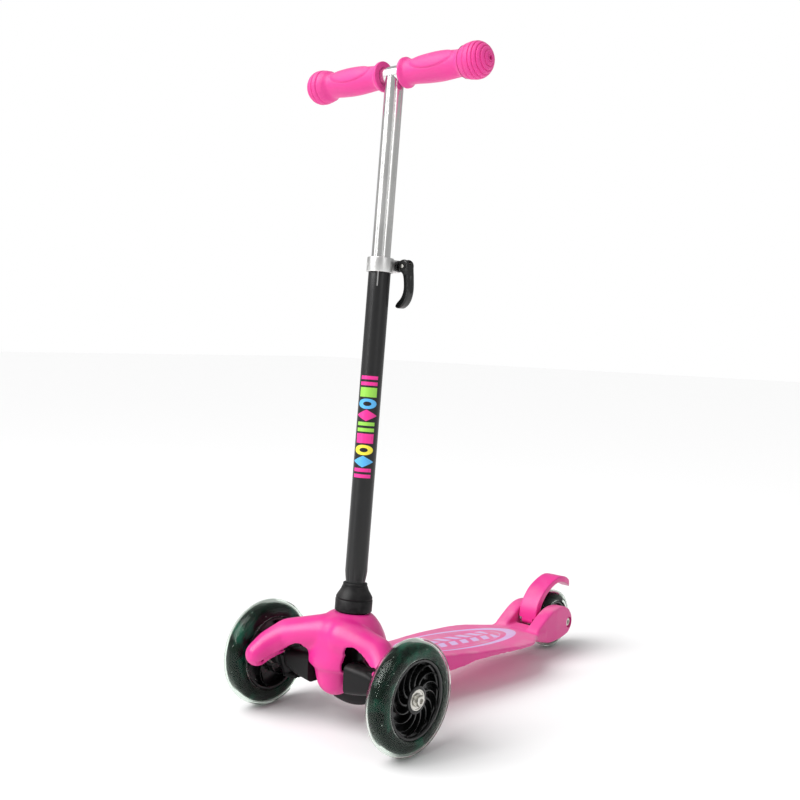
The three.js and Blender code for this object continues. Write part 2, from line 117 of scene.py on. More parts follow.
# %% Turning, plating and bevelling
def gather(*shapes):
    """Several shapes in one bmesh."""
    whole = bmesh.new()
    for shape in shapes:
        mesh = bpy.data.meshes.new("passing")
        shape.to_mesh(mesh)
        whole.from_mesh(mesh)
        bpy.data.meshes.remove(mesh)
    return whole


def placed(bm, origin=(0, 0, 0), direction=Z):
    """Stands a shape made along +Z at a point, along a direction."""
    turn = Z.rotation_difference(Vector(direction)).to_matrix().to_4x4()
    bmesh.ops.transform(bm, matrix=Matrix.Translation(origin) @ turn, verts=bm.verts)
    return bm


def soften(bm, width, segments=2, angle=30):
    """Bevels the edges that are sharper than an angle."""
    edges = [e for e in bm.edges if e.is_manifold and math.degrees(e.calc_face_angle(0)) > angle]
    bmesh.ops.bevel(
        bm, geom=edges, offset=width, offset_type="OFFSET", segments=segments, profile=0.5,
        affect="EDGES", material=-1, clamp_overlap=True
    )
    return bm


def turned(profile, steps=72, closed=True):
    """Spins [radius, height] pairs round +Z. A profile that meets the axis closes there."""
    bm = bmesh.new()
    verts = [bm.verts.new((r, 0, h)) for r, h in profile]
    edges = [bm.edges.new(pair) for pair in zip(verts, verts[1:])]
    if closed:
        edges.append(bm.edges.new((verts[-1], verts[0])))
    bmesh.ops.spin(
        bm, geom=verts + edges, angle=math.tau, steps=steps, axis=Z, cent=(0, 0, 0), use_merge=True
    )
    bmesh.ops.remove_doubles(bm, verts=bm.verts, dist=1e-3)
    bmesh.ops.recalc_face_normals(bm, faces=bm.faces)
    return bm


def rod(radius, start, end, origin=(0, 0, 0), direction=Z, bevel=0.0, steps=48):
    """A round bar between two distances along an axis."""
    bm = turned([(0, start), (radius, start), (radius, end), (0, end)], steps, closed=False)
    if bevel:
        soften(bm, bevel)
    return placed(bm, origin, direction)


def ring(outer, inner, start, end, origin=(0, 0, 0), direction=Z, bevel=0.3, steps=64):
    bm = turned([(inner, start), (outer, start), (outer, end), (inner, end)], steps)
    return placed(soften(bm, bevel), origin, direction)


def hexagon(across_corners, start, end, bevel=0.4):
    """A hexagon head along +Z."""
    bm = bmesh.new()
    bmesh.ops.create_cone(
        bm, cap_ends=True, segments=6, radius1=across_corners, radius2=across_corners,
        depth=end - start, matrix=Matrix.Translation((0, 0, (start + end) / 2))
    )
    return soften(bm, bevel)


def block(x0, x1, y0, y1, z0, z1, bevel=0.0):
    bm = bmesh.new()
    size = Matrix.Diagonal((x1 - x0, y1 - y0, z1 - z0, 1))
    centre = Matrix.Translation(((x0 + x1) / 2, (y0 + y1) / 2, (z0 + z1) / 2))
    bmesh.ops.create_cube(bm, size=1, matrix=centre @ size)
    if bevel:
        soften(bm, bevel, 4)
    return bm


def flowing(points, steps=6, closed=True):
    """More points on a smooth line through a few, with the tangents of their neighbours."""
    pts = [Vector((*p, 0)) for p in points]
    count = len(pts)
    line = []
    for i in range(count if closed else count - 1):
        a, b = pts[i], pts[(i + 1) % count]
        before = pts[i - 1] if closed or i > 0 else a
        after = pts[(i + 2) % count] if closed or i < count - 2 else b
        curve = geometry.interpolate_bezier(a, a + (b - before) / 6, b - (after - a) / 6, b, steps + 1)
        line += [(p.x, p.y) for p in curve[:-1]]
    return line if closed else line + [tuple(points[-1])]


def plate(outline, start, end, view):
    """Extrudes an outline of pairs: (y, z) in "side" view, (x, z) in "front", (x, y) in "plan"."""
    axes = {"side": (Y, Z, X), "front": (X, Z, -Y), "plan": (X, Y, Z)}[view]
    bm = bmesh.new()
    face = bm.faces.new([bm.verts.new((u, v, start)) for u, v in outline])
    grown = bmesh.ops.extrude_face_region(bm, geom=[face], use_keep_orig=True)
    moved = [g for g in grown["geom"] if isinstance(g, bmesh.types.BMVert)]
    bmesh.ops.translate(bm, vec=(0, 0, end - start), verts=moved)
    bmesh.ops.transform(bm, matrix=Matrix(axes).transposed().to_4x4(), verts=bm.verts)
    bmesh.ops.recalc_face_normals(bm, faces=bm.faces)
    return bm


def mirrored(bm):
    """The same shape on the other side of the scooter."""
    other = bm.copy()
    bmesh.ops.scale(other, vec=(-1, 1, 1), verts=other.verts)
    bmesh.ops.reverse_faces(other, faces=other.faces)
    return other


def hull(*balls):
    """The tight skin round some balls, each (centre, radius or three radii)."""
    bm = bmesh.new()
    for centre, radius in balls:
        radii = Vector((radius,) * 3) if isinstance(radius, (int, float)) else Vector(radius)
        ball = bmesh.new()
        size = Matrix.Diagonal((*radii, 1))
        bmesh.ops.create_uvsphere(
            ball, u_segments=28, v_segments=18, radius=1, matrix=Matrix.Translation(centre) @ size
        )
        for v in ball.verts:
            bm.verts.new(v.co)
        ball.free()
    made = bmesh.ops.convex_hull(bm, input=bm.verts, use_existing_faces=False)
    inside = [g for g in made["geom_interior"] if isinstance(g, bmesh.types.BMVert)]
    bmesh.ops.delete(bm, geom=inside, context="VERTS")
    bmesh.ops.recalc_face_normals(bm, faces=bm.faces)
    return bm


print("shape helpers ready")

# %% [markdown]
# Two more trades need a modifier on a passing object: cutting one solid out of another, and
# melting solids together. The result is read back as a bmesh, so that every finished piece
# ends as plain faces with nothing left to work out.

# %% Cutting and melting
def worked(bm, set_up):
    """A shape after modifiers that set_up adds to a passing object."""
    mesh = bpy.data.meshes.new("passing")
    bm.to_mesh(mesh)
    obj = bpy.data.objects.new("passing", mesh)
    bpy.context.scene.collection.objects.link(obj)
    helpers = set_up(obj) or []
    graph = bpy.context.evaluated_depsgraph_get()
    made = bpy.data.meshes.new_from_object(obj.evaluated_get(graph))
    out = bmesh.new()
    out.from_mesh(made)
    for thing in [obj, *helpers]:
        data = thing.data
        bpy.data.objects.remove(thing)
        bpy.data.meshes.remove(data)
    bpy.data.meshes.remove(made)
    return out


def carved(bm, *tools, operation="DIFFERENCE", solver="MANIFOLD"):
    """bm with other solids cut out of it, or joined to it."""

    def set_up(obj):
        helpers = []
        for tool in tools:
            mesh = bpy.data.meshes.new("tool")
            tool.to_mesh(mesh)
            helper = bpy.data.objects.new("tool", mesh)
            bpy.context.scene.collection.objects.link(helper)
            cut = obj.modifiers.new("cut", "BOOLEAN")
            cut.object = helper
            cut.operation = operation
            cut.solver = solver
            cut.use_self = solver == "EXACT"
            helpers.append(helper)
        return helpers

    return worked(bm, set_up)


def lump(bm, voxel, relax=8, factor=0.5):
    """Overlapping solids melted into one moulded skin."""

    def set_up(obj):
        melt = obj.modifiers.new("melt", "REMESH")
        melt.mode = "VOXEL"
        melt.voxel_size = voxel
        if relax:
            settle = obj.modifiers.new("settle", "SMOOTH")
            settle.factor = factor
            settle.iterations = relax

    return worked(bm, set_up)


def piece(bm, name, body, material, replaces=(), sharp=40):
    """Brings a finished shape to metres, gives it its finish, and lets it ride on its body."""
    bmesh.ops.transform(bm, matrix=TO_METRES, verts=bm.verts)
    for face in bm.faces:
        face.smooth = True
    for edge in bm.edges:
        edge.smooth = not edge.is_manifold or math.degrees(edge.calc_face_angle(0)) < sharp
    mesh = bpy.data.meshes.new(name)
    bm.to_mesh(mesh)
    mesh.materials.append(material)
    obj = bpy.data.objects.new(name, mesh)
    bpy.context.scene.collection.objects.link(obj)
    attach(obj, body)
    if replaces:
        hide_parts(*replaces)
    print(f"{name}: {len(bm.faces)} faces on {body}")
    bm.free()
    return obj


print("cutting and melting ready")

# %% [markdown]
# ## Finishes
# The effects that several finishes share are node groups: the fine spark grain of a mould,
# rubbed edges, hairline scratches and a little settled dust. Each puts out only a mask or a
# height that changes over the surface, so that the material itself keeps its shader.

# %% Small helpers for nodes
def node(tree, kind, inputs=None, **settings):
    """Adds a node, sets its properties, and fills its inputs with numbers or links."""
    made = tree.nodes.new(kind)
    for key, value in settings.items():
        setattr(made, key, value)
    for key, value in (inputs or {}).items():
        socket = made.inputs[key]
        if isinstance(value, bpy.types.NodeSocket):
            tree.links.new(value, socket)
        else:
            socket.default_value = value
    return made


def maths(tree, operation, *values, clamp=False):
    made = node(tree, "ShaderNodeMath", dict(enumerate(values)), operation=operation, use_clamp=clamp)
    return made.outputs[0]


def plus(tree, a, b):
    return maths(tree, "ADD", a, b)


def minus(tree, a, b):
    return maths(tree, "SUBTRACT", a, b)


def times(tree, a, b):
    return maths(tree, "MULTIPLY", a, b)


def size_of(tree, a):
    return maths(tree, "ABSOLUTE", a)


def spread(tree, value, low, high, to_low=0.0, to_high=1.0):
    """Maps a value from one range to another, with a soft start and end."""
    inputs = {"Value": value, "From Min": low, "From Max": high, "To Min": to_low, "To Max": to_high}
    return node(tree, "ShaderNodeMapRange", inputs, interpolation_type="SMOOTHSTEP").outputs["Result"]


def noise(tree, place, scale, detail, distortion=0.0):
    inputs = {"Vector": place, "Scale": scale, "Detail": detail, "Distortion": distortion}
    return node(tree, "ShaderNodeTexNoise", inputs).outputs["Fac"]


def cells(tree, place, scale):
    """The distance to the nearest of many scattered points."""
    return node(tree, "ShaderNodeTexVoronoi", {"Vector": place, "Scale": scale}).outputs["Distance"]


def mixed(tree, mask, a, b):
    """Colour a where the mask is 0 and colour b where it is 1."""
    made = node(tree, "ShaderNodeMix", data_type="RGBA")
    for key, value in ((0, mask), (6, a), (7, b)):
        if isinstance(value, bpy.types.NodeSocket):
            tree.links.new(value, made.inputs[key])
        else:
            made.inputs[key].default_value = value
    return made.outputs[2]


def group(name, inputs, outputs, build):
    """A shader node group with named float or vector sockets."""
    tree = bpy.data.node_groups.new(name, "ShaderNodeTree")
    for label, kind, value in inputs:
        socket = tree.interface.new_socket(label, in_out="INPUT", socket_type=kind)
        if value is not None:
            socket.default_value = value
    for label in outputs:
        tree.interface.new_socket(label, in_out="OUTPUT", socket_type="NodeSocketFloat")
    start = tree.nodes.new("NodeGroupInput")
    end = tree.nodes.new("NodeGroupOutput")
    for label, value in build(tree, start.outputs).items():
        tree.links.new(value, end.inputs[label])
    return tree


PLACE = ("Place", "NodeSocketVector", None)
print("node helpers ready")

# %% Shared effects as node groups
def grain_nodes(tree, given):
    fine = noise(tree, given["Place"], given["Scale"], 3.0)
    pits = cells(tree, given["Place"], given["Scale"])
    height = plus(tree, fine, times(tree, pits, 0.6))
    broad = noise(tree, given["Place"], 21.0, 4.0)
    return {"Height": height, "Cloud": spread(tree, broad, 0.3, 0.7)}


def rub_nodes(tree, given):
    point = node(tree, "ShaderNodeNewGeometry").outputs["Pointiness"]
    edge = spread(tree, point, 0.515, 0.58)
    patchy = noise(tree, given["Place"], 190.0, 5.0)
    worn = spread(tree, patchy, 0.42, 0.62)
    return {"Mask": times(tree, times(tree, edge, worn), given["Amount"])}


def scratch_nodes(tree, given):
    total = None
    for turn, seed in ((0.35, 0.0), (-0.8, 3.7)):
        spun = node(
            tree, "ShaderNodeMapping",
            {
                "Vector": given["Place"], "Location": (seed, seed, seed),
                "Rotation": (turn, turn * 0.5, turn), "Scale": (900.0, 14.0, 60.0)
            }
        )
        lines = noise(tree, spun.outputs[0], 1.0, 1.0)
        thin = spread(tree, lines, 0.68, 0.74)
        total = thin if total is None else maths(tree, "MAXIMUM", total, thin)
    return {"Mask": times(tree, total, given["Amount"])}


def dust_nodes(tree, given):
    normal = node(tree, "ShaderNodeNewGeometry").outputs["Normal"]
    up = node(tree, "ShaderNodeSeparateXYZ", {"Vector": normal}).outputs["Z"]
    clouds = noise(tree, given["Place"], 34.0, 6.0)
    lying = times(tree, spread(tree, up, 0.1, 0.9), spread(tree, clouds, 0.42, 0.75))
    return {"Mask": times(tree, lying, given["Amount"])}


SCALE = ("Scale", "NodeSocketFloat", 1500.0)
AMOUNT = ("Amount", "NodeSocketFloat", 0.5)
GRAIN = group("mould_grain", [PLACE, SCALE], ["Height", "Cloud"], grain_nodes)
RUB = group("rubbed_edges", [PLACE, AMOUNT], ["Mask"], rub_nodes)
SCRATCH = group("hairlines", [PLACE, AMOUNT], ["Mask"], scratch_nodes)
DUST = group("settled_dust", [PLACE, AMOUNT], ["Mask"], dust_nodes)
print("node groups", [g.name for g in (GRAIN, RUB, SCRATCH, DUST)])


# %% A finish with the shared effects in it
def finish(name, colour, rough, plain=None, grain=0.0, scale=1500.0, rub=0.0, rub_colour=None,
           scratch=0.0, dust=0.0, vary=0.12, paint=None, relief=None):
    """A Principled finish. paint may draw a pattern on its colour, and relief a height."""
    made = bpy.data.materials.new(name)
    made.use_nodes = True
    tree = made.node_tree
    tree.nodes.clear()
    shader = node(tree, "ShaderNodeBsdfPrincipled", plain or {})
    output = node(tree, "ShaderNodeOutputMaterial")
    tree.links.new(shader.outputs[0], output.inputs[0])
    place = node(tree, "ShaderNodeTexCoord").outputs["Object"]

    def effect(which, **values):
        made_group = node(tree, "ShaderNodeGroup", node_tree=which)
        tree.links.new(place, made_group.inputs["Place"])
        for key, value in values.items():
            made_group.inputs[key].default_value = value
        return made_group.outputs

    texture = effect(GRAIN, Scale=scale)
    dark = tuple(c * (1 - vary) for c in colour) + (1,)
    light = tuple(min(1, c * (1 + vary)) for c in colour) + (1,)
    tone = mixed(tree, texture["Cloud"], dark, light)
    roughness = spread(tree, texture["Cloud"], 0.0, 1.0, rough * 0.88, rough * 1.14)
    if paint:
        tone = paint(tree, place, tone)
    if rub:
        worn = effect(RUB, Amount=rub)["Mask"]
        tone = mixed(tree, worn, tone, rub_colour or light)
        roughness = plus(tree, roughness, times(tree, worn, 0.15))
    if scratch:
        lines = effect(SCRATCH, Amount=scratch)["Mask"]
        tone = mixed(tree, times(tree, lines, 0.5), tone, light)
        roughness = plus(tree, roughness, times(tree, lines, 0.12))
    if dust:
        lying = effect(DUST, Amount=dust)["Mask"]
        tone = mixed(tree, lying, tone, (0.62, 0.58, 0.56, 1))
        roughness = maths(tree, "ADD", roughness, times(tree, lying, 0.3), clamp=True)
    tree.links.new(tone, shader.inputs["Base Color"])
    tree.links.new(roughness, shader.inputs["Roughness"])
    height = texture["Height"]
    if relief:
        height = plus(tree, height, relief(tree, place))
    if grain:
        bump = node(tree, "ShaderNodeBump", {"Height": height, "Strength": grain, "Distance": 0.0002})
        tree.links.new(bump.outputs[0], shader.inputs["Normal"])
    return made


# %% [markdown]
# Two finishes carry a print. The board has a lilac ring, wider at the back, round two rows of
# slanted bars. The black tube has a column of small coloured shapes. Both are drawn with
# Object coordinates, so they stay on the piece when it moves. The ring is the space between
# two ellipses, and the column is cut in cells, each with a shape and a colour of its own.

# %% The prints on the board and on the tube
LILAC = (0.62, 0.44, 0.80, 1)


def ellipse(tree, x, y, centre, radii):
    """1 at the edge of an ellipse, less inside it."""
    across = maths(tree, "DIVIDE", minus(tree, x, centre[0]), radii[0])
    length = maths(tree, "DIVIDE", minus(tree, y, centre[1]), radii[1])
    return maths(tree, "SQRT", plus(tree, times(tree, across, across), times(tree, length, length)))


def within(tree, value, low, high, edge):
    """1 between two limits, with soft edges."""
    rise = spread(tree, value, low - edge, low + edge)
    fall = spread(tree, value, high - edge, high + edge, 1.0, 0.0)
    return times(tree, rise, fall)


def board_print(tree, place, tone):
    parts = node(tree, "ShaderNodeSeparateXYZ", {"Vector": place}).outputs
    x = times(tree, parts["X"], 1 / MM)
    y = minus(tree, times(tree, parts["Y"], 1 / MM), FRONT_Y)
    z = times(tree, parts["Z"], 1 / MM)
    outer = ellipse(tree, x, y, (-1.5, 224), (36.5, 118))
    inner = ellipse(tree, x, y, (-1.5, 213), (32, 108))
    line = within(tree, ellipse(tree, x, y, (-1.5, 213), (27.5, 96)), 0.975, 1.0, 0.008)
    band = times(tree, spread(tree, outer, 0.995, 1.005, 1.0, 0.0), spread(tree, inner, 0.995, 1.005))
    slant = plus(tree, y, times(tree, size_of(tree, x), 0.7))
    step = maths(tree, "FRACT", maths(tree, "DIVIDE", slant, 22.0))
    bars = times(
        tree, within(tree, step, 0.12, 0.72, 0.02), within(tree, size_of(tree, x), 2.2, 16.0, 0.3)
    )
    bars = times(tree, bars, within(tree, y, 150.0, 292.0, 0.5))
    mask = maths(tree, "MAXIMUM", maths(tree, "MAXIMUM", band, bars), times(tree, line, 0.7))
    top = plus(tree, z, times(tree, y, 0.09422))
    mask = times(tree, mask, spread(tree, top, 68.5, 69.5))
    worn = noise(tree, place, 420.0, 4.0)
    mask = times(tree, mask, spread(tree, worn, 0.22, 0.4, 0.55, 0.92))
    return mixed(tree, mask, tone, LILAC)


PRINT_FROM, PRINT_TO, PRINT_SIDE = 269.0, 382.0, math.radians(30)
PRINT_COLOURS = [
    (0.85, 0.03, 0.30), (0.10, 0.45, 0.85), (0.93, 0.80, 0.06), (0.85, 0.03, 0.30), (0.30, 0.66, 0.08),
    (0.85, 0.03, 0.30), (0.10, 0.45, 0.85), (0.30, 0.66, 0.08), (0.85, 0.03, 0.30)
]


def tube_print(tree, place, tone):
    foot = TO_METRES @ STEM_FOOT
    upright = node(
        tree, "ShaderNodeMapping", {"Vector": place, "Location": foot, "Rotation": (-STEM_LEAN, 0, 0)},
        vector_type="TEXTURE"
    )
    parts = node(tree, "ShaderNodeSeparateXYZ", {"Vector": upright.outputs[0]}).outputs
    angle = maths(tree, "ARCTAN2", parts["X"], times(tree, parts["Y"], -1.0))
    across = maths(tree, "DIVIDE", minus(tree, angle, PRINT_SIDE), math.radians(58))
    height = times(tree, parts["Z"], 1 / MM)
    count = len(PRINT_COLOURS)
    start, pitch = PRINT_FROM - STEM_FOOT.z, (PRINT_TO - PRINT_FROM) / count
    along = maths(tree, "DIVIDE", minus(tree, height, start), pitch)
    cell = maths(tree, "FLOOR", along)
    inside = minus(tree, times(tree, maths(tree, "FRACT", along), 2.0), 1.0)
    radius = ellipse(tree, across, inside, (0.0, 0.0), (0.92, 0.92))
    ring_shape = within(tree, radius, 0.42, 0.96, 0.03)
    flat = maths(tree, "MAXIMUM", size_of(tree, across), size_of(tree, inside))
    square = spread(tree, flat, 0.80, 0.86, 1.0, 0.0)
    corner = plus(tree, size_of(tree, across), size_of(tree, inside))
    diamond = spread(tree, corner, 0.98, 1.04, 1.0, 0.0)
    bar_shape = times(tree, square, spread(tree, size_of(tree, inside), 0.18, 0.24))
    kind = maths(tree, "MODULO", cell, 4.0)
    shape = None
    for index, drawn in enumerate((bar_shape, diamond, ring_shape, square)):
        chosen = times(tree, drawn, maths(tree, "COMPARE", kind, float(index), 0.3))
        shape = chosen if shape is None else plus(tree, shape, chosen)
    limits = times(
        tree, spread(tree, along, -0.01, 0.01),
        spread(tree, along, count - 0.01, count + 0.01, 1.0, 0.0)
    )
    shape = times(tree, shape, limits)
    ramp = node(
        tree, "ShaderNodeValToRGB", {"Fac": maths(tree, "DIVIDE", plus(tree, cell, 0.5), float(count))}
    )
    ramp.color_ramp.interpolation = "CONSTANT"
    stops = ramp.color_ramp.elements
    for index, colour in enumerate(PRINT_COLOURS):
        stop = stops[0] if index == 0 else stops.new(index / count)
        stop.color = (*colour, 1)
    stops.remove(stops[-1])
    return mixed(tree, shape, tone, ramp.outputs["Color"])


print("prints ready")

# %% [markdown]
# The tyre is clear polyurethane over a dark green core with flashing lights cast in it. The
# core carries cloudy teal patches and a few pale specks, and the clear skin is a thick shell
# of its own, so that the rim of the wheel stays bright where the light goes through.

# %% The finishes of the scooter
def core_clouds(tree, place, tone):
    clouds = noise(tree, place, 30.0, 3.0, 0.6)
    tone = mixed(tree, spread(tree, clouds, 0.50, 0.72), tone, (0.001, 0.10, 0.065, 1))
    specks = cells(tree, place, 95.0)
    return mixed(tree, spread(tree, specks, 0.035, 0.07, 1.0, 0.0), tone, (0.55, 0.62, 0.58, 1))


def grip_dots(tree, place):
    dots = cells(tree, place, 620.0)
    return spread(tree, dots, 0.1, 0.45, 1.2, 0.0)


def brushed_along(direction):
    """Fine lines along a tube, as drawing through a die leaves them."""
    scale = {"stem": (2600.0, 2600.0, 26.0), "bar": (26.0, 2600.0, 2600.0)}[direction]

    def lines(tree, place):
        spun = node(tree, "ShaderNodeMapping", {"Vector": place, "Scale": scale})
        drawn = noise(tree, spun.outputs[0], 1.0, 2.0)
        return times(tree, drawn, 1.5)

    return lines


PINK = (0.72, 0.024, 0.26)
BLACK = (0.006, 0.006, 0.0065)
PALE_PINK = (0.86, 0.12, 0.42, 1)
GREY = (0.025, 0.025, 0.026, 1)
cover_pink = finish(
    "moulded_pink", PINK, 0.34,
    {"Specular IOR Level": 0.5, "Subsurface Weight": 0.08, "Subsurface Radius": (0.004, 0.001, 0.002)},
    grain=0.25, scale=1900, rub=0.35, rub_colour=PALE_PINK, scratch=0.25, dust=0.10, vary=0.05
)
board_pink = finish(
    "printed_board_pink", PINK, 0.50,
    {"Specular IOR Level": 0.6, "Sheen Weight": 0.25, "Sheen Roughness": 0.5}, grain=0.5, scale=1300,
    rub=0.3, rub_colour=PALE_PINK, scratch=0.5, dust=0.25, vary=0.06, paint=board_print
)
grip_pink = finish(
    "soft_grip_pink", (0.76, 0.035, 0.28), 0.5, {"Sheen Weight": 0.2, "Sheen Roughness": 0.4},
    grain=0.4, scale=900, rub=0.2, rub_colour=PALE_PINK, dust=0.1, vary=0.05, relief=grip_dots
)
black_nylon = finish(
    "black_nylon", BLACK, 0.42, {"Specular IOR Level": 0.2}, grain=0.3, scale=1600, rub=0.5,
    rub_colour=GREY, scratch=0.2, dust=0.06, vary=0.2
)
gloss_nylon = finish(
    "polished_black_nylon", (0.004, 0.0045, 0.0045), 0.26,
    {"Specular IOR Level": 0.4, "Coat Weight": 0.2, "Coat Roughness": 0.12}, grain=0.12, rub=0.3,
    rub_colour=GREY, scratch=0.2, vary=0.2
)
tube_black = finish(
    "powder_coated_tube", (0.006, 0.006, 0.0065), 0.34,
    {"Specular IOR Level": 0.4, "Coat Weight": 0.1, "Coat Roughness": 0.3}, grain=0.22, scale=700,
    scratch=0.3, dust=0.08, vary=0.15, paint=tube_print
)
METAL = {"Metallic": 1.0}
stem_metal = finish(
    "drawn_aluminium_tube", (0.74, 0.74, 0.73), 0.2, METAL, grain=0.05, scale=900, scratch=0.3,
    vary=0.05, relief=brushed_along("stem")
)
bar_metal = finish(
    "drawn_aluminium_bar", (0.78, 0.78, 0.77), 0.18, METAL, grain=0.05, scale=900, scratch=0.3,
    vary=0.05, relief=brushed_along("bar")
)
cast_metal = finish(
    "tumbled_aluminium", (0.72, 0.72, 0.71), 0.38, METAL, grain=0.35, scale=1400, rub=0.5,
    rub_colour=(0.95, 0.95, 0.94, 1), vary=0.07
)
zinc = finish(
    "zinc_plated_steel", (0.62, 0.61, 0.57), 0.26, METAL, grain=0.2, scale=1100, rub=0.4,
    rub_colour=(0.9, 0.88, 0.8, 1), scratch=0.3, vary=0.12
)
spring_steel = finish("spring_steel", (0.50, 0.51, 0.52), 0.24, METAL, grain=0.12, scale=1500, vary=0.1)
core_green = finish(
    "cast_green_core", (0.0015, 0.0095, 0.0065), 0.6, {"Specular IOR Level": 0.1}, vary=0.3,
    paint=core_clouds
)
clear_skin = finish(
    "clear_tyre_skin", (0.78, 0.88, 0.80), 0.02, {"Transmission Weight": 1.0, "IOR": 1.22}, vary=0.03
)
print("finishes", len(bpy.data.materials))

# %% [markdown]
# ## The footboard
# The board is a shell with ribs under it. Its plan is narrow at the truck, widest over the
# middle and narrow again at the fork. A grid is pulled to that plan and to the sloping top,
# extruded down to the underside, and bevelled. A smaller copy is cut out from below, less
# the ribs, and the fork cheeks are joined on before everything is melted into one moulding.

# %% Board outlines
HALF_WIDTHS = [
    (42, 30), (62, 33), (95, 37), (140, 42), (176, 49), (209, 54.5), (250, 58.5), (280, 60.5),
    (308, 57.5), (330, 47), (348, 38), (376, 35)
]
BOARD_TOP = [(42, 64.6), (75, 64.4), (100, 62.8), (330, 41.1), (352, 40.5), (376, 42)]
BOARD_UNDER = [
    (42, 50), (62, 50), (98, 40), (140, 36), (177, 39), (205, 42), (290, 39), (336, 34), (363, 27),
    (376, 24)
]
WALL = 3.0


def at(table, y):
    """Reads a table of (y, value) pairs, straight between them."""
    for (a, low), (b, high) in zip(table, table[1:]):
        if y <= b:
            share = (y - a) / (b - a)
            return low + (high - low) * share
    return table[-1][1]


HALF_SMOOTH = flowing(HALF_WIDTHS, 5, closed=False)
TOP_SMOOTH = flowing(BOARD_TOP, 5, closed=False)
UNDER_SMOOTH = flowing(BOARD_UNDER, 5, closed=False)


def board_solid(y0, y1, side_in, top_drop, bottom):
    """A grid pulled to the board's plan and top, and extruded down to a floor."""
    bm = bmesh.new()
    bmesh.ops.create_grid(bm, x_segments=20, y_segments=60, size=1)
    for v in bm.verts:
        across, y = v.co.x, y0 + (v.co.y + 1) / 2 * (y1 - y0)
        crown = 0.9 * (1 - across * across)
        v.co = (across * (at(HALF_SMOOTH, y) - side_in), y, at(TOP_SMOOTH, y) - top_drop - 0.9 + crown)
    top = list(bm.faces)
    grown = bmesh.ops.extrude_face_region(bm, geom=top, use_keep_orig=True)
    for v in (g for g in grown["geom"] if isinstance(g, bmesh.types.BMVert)):
        v.co.x *= 0.97
        v.co.z = bottom(v.co.y)
    bmesh.ops.recalc_face_normals(bm, faces=bm.faces)
    return bm


board = soften(board_solid(42, 376, 0, 0, lambda y: at(UNDER_SMOOTH, y)), 2.6, 4, 50)
room = board_solid(66, 372, WALL, WALL + 0.6, lambda y: -5)
ribs = gather(
    *[block(-70, 70, y - 1.2, y + 1.2, 38, 110) for y in (110, 160, 210, 260, 310)],
    block(-1.4, 1.4, 60, 376, 38, 110)
)
shell = carved(board, carved(room, ribs))
print("board shell", len(shell.faces), "faces")

# %% Fork cheeks and the finished board
CHEEK = [
    (352, 30), (370, 24), (388, 20.4), (414, 21.5), (436, 27), (444, 38), (441, 51), (430, 60.5),
    (416, 65), (400, 65.5), (384, 61), (366, 51), (352, 41)
]


def cheek():
    side = soften(plate(flowing(CHEEK, 4), 15.5, 34.6, "side"), 3.2, 4, 50)
    taper = plate([(15.5, 345), (34, 345), (34.6, 400), (31.6, 448), (15.5, 448)], 0, 110, "plan")
    return carved(side, soften(taper, 3, 4, 60), operation="INTERSECT")


one_cheek = cheek()
wheel_room = block(-15.5, 15.5, 378, 460, 0, 110)
rear_end = block(-15.5, 15.5, 375.5, 400, 35, 60)
shell = carved(shell, wheel_room)
footboard = lump(gather(shell, one_cheek, mirrored(one_cheek)), 1.35, 5)
axle_hole = rod(4.4, -50, 50, REAR_WHEEL, X)
recesses = gather(rod(7.5, 26.2, 60, REAR_WHEEL, X), rod(7.5, -60, -26.2, REAR_WHEEL, X))
pin_hole = rod(2.9, -22, 22, BRAKE_PIN, X, steps=32)
footboard = carved(footboard, wheel_room, rear_end, axle_hole, recesses, pin_hole)
piece(footboard, "footboard", "chassis", board_pink, ["deck"])

# %% [markdown]
# ## The front cover
# The cover is one soft moulding: a bell round the foot of the stem, a nose hanging in front
# and two arms that reach out over the kingpins. Each is a hull drawn round a few balls. They
# overlap, so a voxel remesh melts them into one skin and a long relaxation blends the creases.
# The same shapes, three millimetres smaller, are then cut out to leave the wall.

# %% Cover masses
BELL = [(44, 69.5), (44.3, 78), (42.8, 88), (39.4, 100), (33.6, 111), (27, 119), (21.8, 123)]


def up_stem(z):
    """A height above the floor as a distance along the leaning stem."""
    return (z - STEM_FOOT.z) / math.cos(STEM_LEAN)


# x, y, z and three radii of the balls along each arm; the right one reaches further forward
ARMS = {
    -1: [
        (14, 0, 102, 18, 22, 20), (57, -14, 93, 18, 21, 17.5), (68.5, -31, 83.5, 15.5, 17.5, 15.5),
        (73, -46, 74, 13, 13.5, 13.5)
    ],
    1: [
        (14, 0, 102, 18, 22, 20), (56, 6, 93, 16.5, 18, 16.5), (67, 1, 86, 14.5, 15, 14),
        (75, -9, 79, 10.8, 11.5, 10.6)
    ]
}


def cover_mass(shrink, floor):
    outline = [(0, up_stem(floor)), (44 - shrink, up_stem(floor))]
    outline += [(r - shrink, up_stem(z - shrink)) for r, z in BELL] + [(0, up_stem(123 - shrink))]
    bell = placed(turned(outline, 64, closed=False), STEM_FOOT - Vector((0, 3, 0)), STEM)
    nose = hull(
        ((0, 2.5, 100), (26 - shrink, 23.6 - shrink, 23.6 - shrink)),
        ((0, 1.5, 76), (25.5 - shrink, 23 - shrink, 22 - shrink)),
        ((0, 2, 56.5), (21.5 - shrink, 20 - shrink, 20.6 - shrink))
    )
    arms = []
    for side, stations in ARMS.items():
        balls = [((side * x, y, z), tuple(r - shrink for r in radii)) for x, y, z, *radii in stations]
        arms += [hull(a, b) for a, b in zip(balls, balls[1:])]
    return lump(gather(bell, nose, *arms), 1.7, 26)


outer = cover_mass(0, 66)
inner = cover_mass(WALL, 68)
print("cover masses", len(outer.faces), len(inner.faces))

